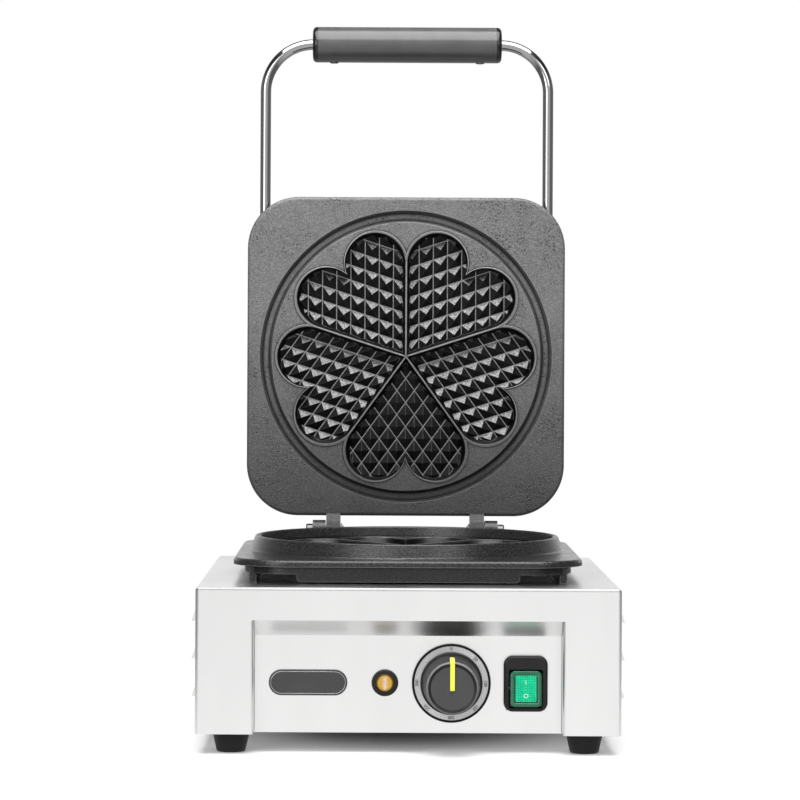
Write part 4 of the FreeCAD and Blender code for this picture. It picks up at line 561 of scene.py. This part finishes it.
def dress():
    """Gives every node of the frame its material."""
    centre_up = hinge.z + HINGE_OFFSET + PLATE_HALF
    lower_y = hinge.y - HINGE_OFFSET - PLATE_HALF
    wear(HOUSING, steel("satin_sheet", (0.95, 0.95, 0.945), 0.30, SHEET_GRAIN))
    wear(["lid_cover"], steel("drawn_sheet", (0.86, 0.86, 0.855), 0.34, COVER_GRAIN))
    wear(["upper_plate"],
         casting("upper_iron", "Y", hinge.y - FACE_DROP, 1.0, {"X": 0.0, "Z": centre_up}, highlit_side=("Z", 1.0),
                 tones=UPPER_TONES, shine=0.50, relief=0.75, painted_shade=LID_PAINTED_SHADE))
    wear(["lower_plate"],
         casting("shaded_lower_iron", "Z", hinge.z - FACE_DROP - LAND_GAP, -1.0, {"X": 0.0, "Y": lower_y},
                 highlit_side=("Y", -1.0), tones=LOWER_SHADED_TONES, shine=0.20, relief=0.40))
    wear(["handle_rod"],
         steel("chrome_rod", (0.37, 0.37, 0.375), 0.08, ROD_GRAIN, relief=0.0, edge=0.0))
    wear(["handle_grip"], grip_look())
    wear(["control_knob"], knob_look())
    yellow = (0.88, 0.91, 0.085)
    # The pointer shines faintly in its own yellow, though it is no lamp: painted light.
    wear(["knob_pointer"],
         moulding("pointer_plastic", yellow, 0.42, Emission_Color=yellow + (1.0,), Emission_Strength=0.14))
    wear(["rubber_feet"], moulding("foot_rubber", grey(0.012), 0.62, grain=700.0, Specular_IOR_Level=0.25))
    wear(["dial_ring"], dial_look())
    wear(["badge_plate"], moulding("badge_face", (0.045, 0.045, 0.047), 0.34))
    wear(["lamp_bezel", "lamp_body", "lamp_nut", "switch_housing", "mains_gland", "mains_gland_nut",
          "lead_gland", "lead_gland_nut", "lid_gland", "lid_gland_nut"],
         moulding("black_moulding", grey(0.014), 0.30, Specular_IOR_Level=0.25))
    wear(["lamp_lens"], lens("amber_lens", "lamp_lens", (0.62, 0.35, 0.025), (0.76, 0.57, 0.45), 0.26))
    # The rocker under the boot takes a near-black copy of the boot's green, with paler edges: painted shade and
    # painted highlight.
    wear(["switch_rocker"], tinted("shade_painted_rocker", (0.004, 0.026, 0.015), (0.008, 0.045, 0.026), 0.05))
    wear(["terminal_block"], moulding("block_ceramic", (0.72, 0.70, 0.64), 0.5))
    wear(["insulation_pad"], moulding("mineral_wool", (0.62, 0.58, 0.45), 0.9, grain=400.0))
    wear(["sensor_bulb"], steel("copper_tube", (0.70, 0.40, 0.24), 0.35, TUBE_GRAIN))
    wear(["lower_element", "upper_element"],
         steel("element_sheath", (0.26, 0.25, 0.24), 0.5, TUBE_GRAIN))
    wear(["rear_panel_screws", "bottom_cover_screws", "foot_bolts", "foot_nuts", "plate_bolts",
          "lid_cover_screws", "lower_clamp", "lower_clamp_bolt", "upper_clamp", "upper_clamp_bolt",
          "heat_shield", "thermostat_shaft", "thermostat_body"],
         steel("plated_steel", grey(0.55), 0.30, PLATED_GRAIN))
    wear(["hinge_pins", "pin_clips", "grip_screws", "handle_set_screws"],
         steel("oiled_steel", grey(0.13), 0.35, PLATED_GRAIN))


def add(name, mesh, material, body):
    """Adds a piece that rides on a body of the frame."""
    made = bpy.data.objects.new(name, mesh)
    bpy.context.scene.collection.objects.link(made)
    mesh.materials.clear()
    mesh.materials.append(material)
    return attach(made, body)


def curve_mesh(name, curve):
    """Turns a curve or a text into a mesh."""
    holder = bpy.data.objects.new(name + "_source", curve)
    bpy.context.scene.collection.objects.link(holder)
    bpy.context.view_layer.update()
    mesh = bpy.data.meshes.new_from_object(holder.evaluated_get(bpy.context.evaluated_depsgraph_get()))
    bpy.data.objects.remove(holder)
    mesh.name = name
    return mesh


def text_mesh(name, text, height):
    """Thin lettering about its own middle."""
    curve = bpy.data.curves.new(name, "FONT")
    curve.body = text
    curve.size = height
    curve.align_x = "CENTER"
    curve.align_y = "CENTER"
    curve.extrude = MARK_THICK
    curve.offset = MARK_SPREAD
    curve.resolution_u = 3
    return curve_mesh(name, curve)


def ring_mesh(name, kind, points, thick, resolution=None):
    """A round bar along a closed run of points."""
    curve = bpy.data.curves.new(name, "CURVE")
    curve.dimensions = "3D"
    spline = curve.splines.new(kind)
    spline.points.add(len(points) - 1)
    for point, spot in zip(spline.points, points):
        point.co = spot + (1.0,)
    spline.use_cyclic_u = True
    curve.bevel_depth = thick
    if resolution:
        curve.bevel_resolution = resolution
    return curve_mesh(name, curve)


def mesh_of(name, shape):
    """Turns a finished bmesh into a mesh."""
    mesh = bpy.data.meshes.new(name)
    shape.to_mesh(mesh)
    shape.free()
    return mesh


def joined(name, meshes):
    """One mesh out of several."""
    whole = bmesh.new()
    for mesh in meshes:
        whole.from_mesh(mesh)
    return mesh_of(name, whole)


def skin(shape, rings):
    """Faces between rings of the same number of corners."""
    count = len(rings[0])
    for first, second in zip(rings, rings[1:]):
        for i in range(count):
            j = (i + 1) % count
            shape.faces.new((first[i], first[j], second[j], second[i]))


def add_dial_marks():
    """Plain numbers on the dial, turned outwards."""
    face_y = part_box("dial_ring")[0].y + DIAL_RIM
    meshes = []
    for step, number in enumerate(DIAL_NUMBERS):
        mesh = text_mesh("number_" + number, number, DIAL_TEXT)
        turn = Matrix.Rotation(step * DIAL_STEP, 4, "Y")
        spot = turn @ Vector((0.0, 0.0, DIAL_TEXT_RADIUS))
        where = Matrix.Translation((knob_axis.x + spot.x, face_y, knob_axis.z + spot.z))
        mesh.transform(where @ turn @ Matrix.Rotation(math.pi / 2, 4, "X"))
        meshes.append(mesh)
    ink = moulding("dial_ink", grey(0.02), 0.5, edge=0.0)
    add("dial_numbers", joined("dial_numbers", meshes), ink, "base")


def rounded_plate(name, width, height, radius, profile, steps=6):
    """A plate in the XY plane with round corners; its profile is the inset and level of each ring."""
    plate = bmesh.new()
    rings = []
    for inset, level in profile:
        ring = []
        for quarter, (side_x, side_y) in enumerate(((1, 1), (-1, 1), (-1, -1), (1, -1))):
            for step in range(steps + 1):
                turn = (quarter + step / steps) * math.pi / 2
                x = side_x * (width / 2 - radius) + (radius - inset) * math.cos(turn)
                y = side_y * (height / 2 - radius) + (radius - inset) * math.sin(turn)
                ring.append(plate.verts.new((x, y, level)))
        rings.append(ring)
    skin(plate, rings)
    plate.faces.new(rings[-1])
    plate.faces.new(list(reversed(rings[0])))
    return mesh_of(name, plate)


def softened_edge(thick):
    """The profile of a thin plate with a softened front edge, its back at zero."""
    return ((0.0, 0.0), (0.0, thick * 0.5), (thick * 0.5, thick))


def add_grip():
    """The grip with its rounded ends, turned about its rod."""
    low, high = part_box("handle_grip")
    middle = (low + high) / 2
    reach = (high.x - low.x) / 2
    outer = (high.y - low.y) / 2
    bead = [(GRIP_ROUND * math.cos(turn), GRIP_ROUND * math.sin(turn))
            for turn in (math.pi / 2 * step / GRIP_STEPS for step in range(GRIP_STEPS + 1))]
    end = [(reach - GRIP_ROUND + along, outer - GRIP_ROUND + off) for along, off in bead]
    profile = [(-along, off) for along, off in end] + list(reversed(end))
    turns = [math.tau * step / GRIP_SEGMENTS for step in range(GRIP_SEGMENTS)]
    grip = bmesh.new()
    rings = []
    for along, off in profile:
        spots = [(along, off * math.cos(turn), off * math.sin(turn)) for turn in turns]
        rings.append([grip.verts.new(middle + Vector(spot)) for spot in spots])
    skin(grip, rings)
    grip.faces.new(rings[0])
    grip.faces.new(list(reversed(rings[-1])))
    bmesh.ops.recalc_face_normals(grip, faces=grip.faces)
    mesh = mesh_of("grip_sleeve", grip)
    mesh.shade_smooth()
    mesh.set_sharp_from_angle(angle=GRIP_CREASE)
    material = nodes["handle_grip"].data.materials[0]
    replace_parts(add("grip_sleeve", mesh, material, "lid"), "handle_grip")


def rocker_face():
    """The frame of the rocker's sloping front: X to the right, Y up the slope and Z out of it."""
    low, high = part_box("switch_rocker")
    bottom = Vector((0.0, low.y, low.z + ROCKER_CHIN))
    top = Vector((0.0, low.y + ROCKER_FALL, high.z - ROCKER_SLOPE))
    across = Vector((1.0, 0.0, 0.0))
    up = (top - bottom).normalized()
    middle = (bottom + top) / 2
    middle.x = (low.x + high.x) / 2
    turn = Matrix((across, up, across.cross(up))).transposed().to_4x4()
    return Matrix.Translation(middle) @ turn @ Matrix.Translation((0.0, BOOT_RISE, 0.0))


def add_rocker_window():
    """The rocker's clear boot with a lit window in it and its two generic marks."""
    where = rocker_face()
    boot = rounded_plate("rocker_boot", *BOOT_SIZE, BOOT_ROUND, BOOT_RINGS)
    boot.transform(where)
    boot.shade_smooth()
    boot.set_sharp_from_angle(angle=BOOT_CREASE)
    add("rocker_boot", boot, tinted("green_boot", (0.012, 0.135, 0.070), (0.14, 0.33, 0.23), 0.22), "rocker")
    where = where @ Matrix.Translation((0.0, 0.0, BOOT_RINGS[-1][1]))
    window = rounded_plate("rocker_window", *WINDOW_SIZE, WINDOW_ROUND, softened_edge(WINDOW_LIFT))
    window.transform(where)
    glow = lit_grid("rocker_glow", (0.008, 0.46, 0.23), (0.004, 0.30, 0.14), 0.10, WINDOW_PITCH)
    add("rocker_window", window, glow, "rocker")
    bar = rounded_plate("mark_on", ROCKER_MARK_LINE, ROCKER_MARK, ROCKER_MARK_LINE * 0.4,
                        softened_edge(MARK_THICK))
    bar.transform(Matrix.Translation((0.0, WINDOW_SIZE[1] * MARK_ON_SHARE, WINDOW_LIFT)))
    turns = [math.tau * number / ROCKER_MARK_POINTS for number in range(ROCKER_MARK_POINTS)]
    spots = [(ROCKER_MARK / 2 * math.cos(turn), ROCKER_MARK / 2 * math.sin(turn), 0.0) for turn in turns]
    ring = ring_mesh("mark_off", "NURBS", spots, ROCKER_MARK_LINE / 2)
    ring.transform(Matrix.Translation((0.0, WINDOW_SIZE[1] * MARK_OFF_SHARE, WINDOW_LIFT)))
    marks = joined("rocker_marks", [bar, ring])
    marks.transform(where)
    add("rocker_marks", marks, moulding("mark_paint", (0.80, 0.90, 0.82), 0.4, edge=0.0), "rocker")


def add_badge_rim():
    """A thin pale line round the bare badge."""
    low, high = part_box("badge_plate")
    middle = (low + high) / 2
    radius = (high.z - low.z) / 2
    run = (high.x - low.x) / 2 - radius
    reach = radius - BADGE_INSET
    spots = []
    for side, end in enumerate((run, -run)):
        for step in range(BADGE_STEPS + 1):
            turn = math.pi * (side + step / BADGE_STEPS) - math.pi / 2
            spots.append((end + reach * math.cos(turn), 0.0, reach * math.sin(turn)))
    mesh = ring_mesh("badge_rim", "POLY", spots, BADGE_RIM, resolution=2)
    mesh.transform(Matrix.Translation((middle.x, low.y + BADGE_RIM * BADGE_SINK, middle.z)))
    add("badge_rim", mesh, steel("badge_line", (0.55, 0.55, 0.56), 0.3, PLATED_GRAIN), "base")


def soften():
    """Smooth shading on round faces, with flat faces kept crisp."""
    for thing in nodes.values():
        thing.data.shade_smooth()
        thing.data.set_sharp_from_angle(angle=CAD_CREASE)


def make_floor():
    """Pale paper: it takes the shadow near the object and is plain white further out."""
    mesh = bpy.data.meshes.new("floor")
    half = FLOOR_SIDE / 2
    corners = [(-half, -half, 0), (half, -half, 0), (half, half, 0), (-half, half, 0)]
    mesh.from_pydata(corners, [], [(0, 1, 2, 3)])
    floor = bpy.data.objects.new("floor", mesh)
    bpy.context.scene.collection.objects.link(floor)
    look = Look("floor_paper", grey(0.93), 0.8)
    paths = look.node("ShaderNodeLightPath")
    dull = look.node("ShaderNodeBsdfDiffuse")
    look.feed(dull.inputs["Color"], grey(FLOOR_BOUNCE) + (1.0,))
    plain = look.node("ShaderNodeEmission")
    away = look.node("ShaderNodeVectorMath", operation="LENGTH")
    look.feed(away.inputs[0], look.place)
    paper = look.blend(look.range(away.outputs["Value"], *FLOOR_FADE), look.shader.outputs[0], plain.outputs[0])
    reflected = look.node("ShaderNodeEmission")
    # In reflections the floor is a plain glow, dark near the object: painted shadow.
    near = look.range(away.outputs["Value"], *FLOOR_MIRROR_FADE)
    beside = look.range(look.sum("ABSOLUTE", look.axis("X")), *FLOOR_SIDE_FADE, 1.0, FLOOR_SIDE_DIM)
    ahead = look.range(look.axis("Y"), *FLOOR_BACK_FADE, 1.0, FLOOR_BACK_DIM)
    look.feed(reflected.inputs["Strength"], look.sum("MULTIPLY", near, look.sum("MINIMUM", beside, ahead)))
    bounced = look.blend(look.mirrored(paths), dull.outputs[0], reflected.outputs[0])
    output = next(node for node in look.tree.nodes if node.type == "OUTPUT_MATERIAL")
    look.feed(output.inputs["Surface"], look.blend(paths.outputs["Is Camera Ray"], bounced, paper))
    mesh.materials.append(look.material)


def make_world():
    """White to the camera, a bright front and dimmer sides in reflections, soft fill elsewhere."""
    world = bpy.data.worlds.new("studio")
    bpy.context.scene.world = world
    world.use_nodes = True
    made = Nodes(world.node_tree)
    made.tree.nodes.clear()
    paths = made.node("ShaderNodeLightPath")
    toward = made.node("ShaderNodeTexCoord").outputs["Generated"]
    beside = made.range(made.sum("ABSOLUTE", made.along(toward, "X")), *WORLD_SIDE_FADE)
    above = made.range(made.along(toward, "Z"), *WORLD_TOP_FADE)
    shades = []
    for strength in (WORLD_FILL, made.sum("MULTIPLY", beside, above), 1.0):
        shade = made.node("ShaderNodeBackground")
        made.feed(shade.inputs["Color"], grey(1.0) + (1.0,))
        made.feed(shade.inputs["Strength"], strength)
        shades.append(shade.outputs[0])
    fill, mirror, white = shades
    unseen = made.blend(made.mirrored(paths), fill, mirror)
    output = made.node("ShaderNodeOutputWorld")
    made.feed(output.inputs["Surface"], made.blend(paths.outputs["Is Camera Ray"], unseen, white))


def area_light(name, power, size, spot, target):
    """A softbox that the camera doesn't see, turned to its target."""
    data = bpy.data.lights.new(name, "AREA")
    data.shape = "RECTANGLE"
    data.size, data.size_y = size
    data.energy = power
    light = bpy.data.objects.new(name, data)
    bpy.context.scene.collection.objects.link(light)
    light.location = spot
    light.visible_camera = False
    light.rotation_euler = (Vector(target) - Vector(spot)).to_track_quat("-Z", "Y").to_euler()
    return light


def lit_by(light, names, state):
    """Keeps a light to the named nodes, or off them."""
    group = bpy.data.collections.new(light.name + "_group")
    for name in names:
        group.objects.link(nodes[name])
    for member in group.collection_objects:
        member.light_linking.link_state = state
    light.light_linking.receiver_collection = group


def make_lights():
    """Hangs the softboxes."""
    for name, (power, size, spot, target, state) in SOFTBOXES.items():
        lit_by(area_light(name, power, size, spot, target), SHEETS, state)


def make_camera():
    """Level line of sight along the depth; the picture's frame is shifted off it as in the photo."""
    data = bpy.data.cameras.new("camera")
    data.sensor_width = SENSOR_MM
    data.lens = SENSOR_MM * PICTURE_FOCAL / PICTURE_SIDE
    data.shift_x = 0.5 - SIGHT_PIXEL[0] / PICTURE_SIDE
    data.shift_y = SIGHT_PIXEL[1] / PICTURE_SIDE - 0.5
    data.clip_start = CAMERA_NEAR
    camera = bpy.data.objects.new("camera", data)
    bpy.context.scene.collection.objects.link(camera)
    camera.location = (CAMERA_SIDE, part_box("base_shell")[0].y - CAMERA_AHEAD, CAMERA_HEIGHT)
    turn = Matrix.Rotation(math.pi / 2, 4, "X") @ Matrix.Rotation(CAMERA_ROLL, 4, "Z")
    camera.rotation_euler = turn.to_euler()
    bpy.context.scene.camera = camera


soften()
dress()
add_grip()
add_dial_marks()
add_rocker_window()
add_badge_rim()
make_floor()
make_world()
make_lights()
make_camera()
bpy.context.scene.view_settings.view_transform = "Standard"
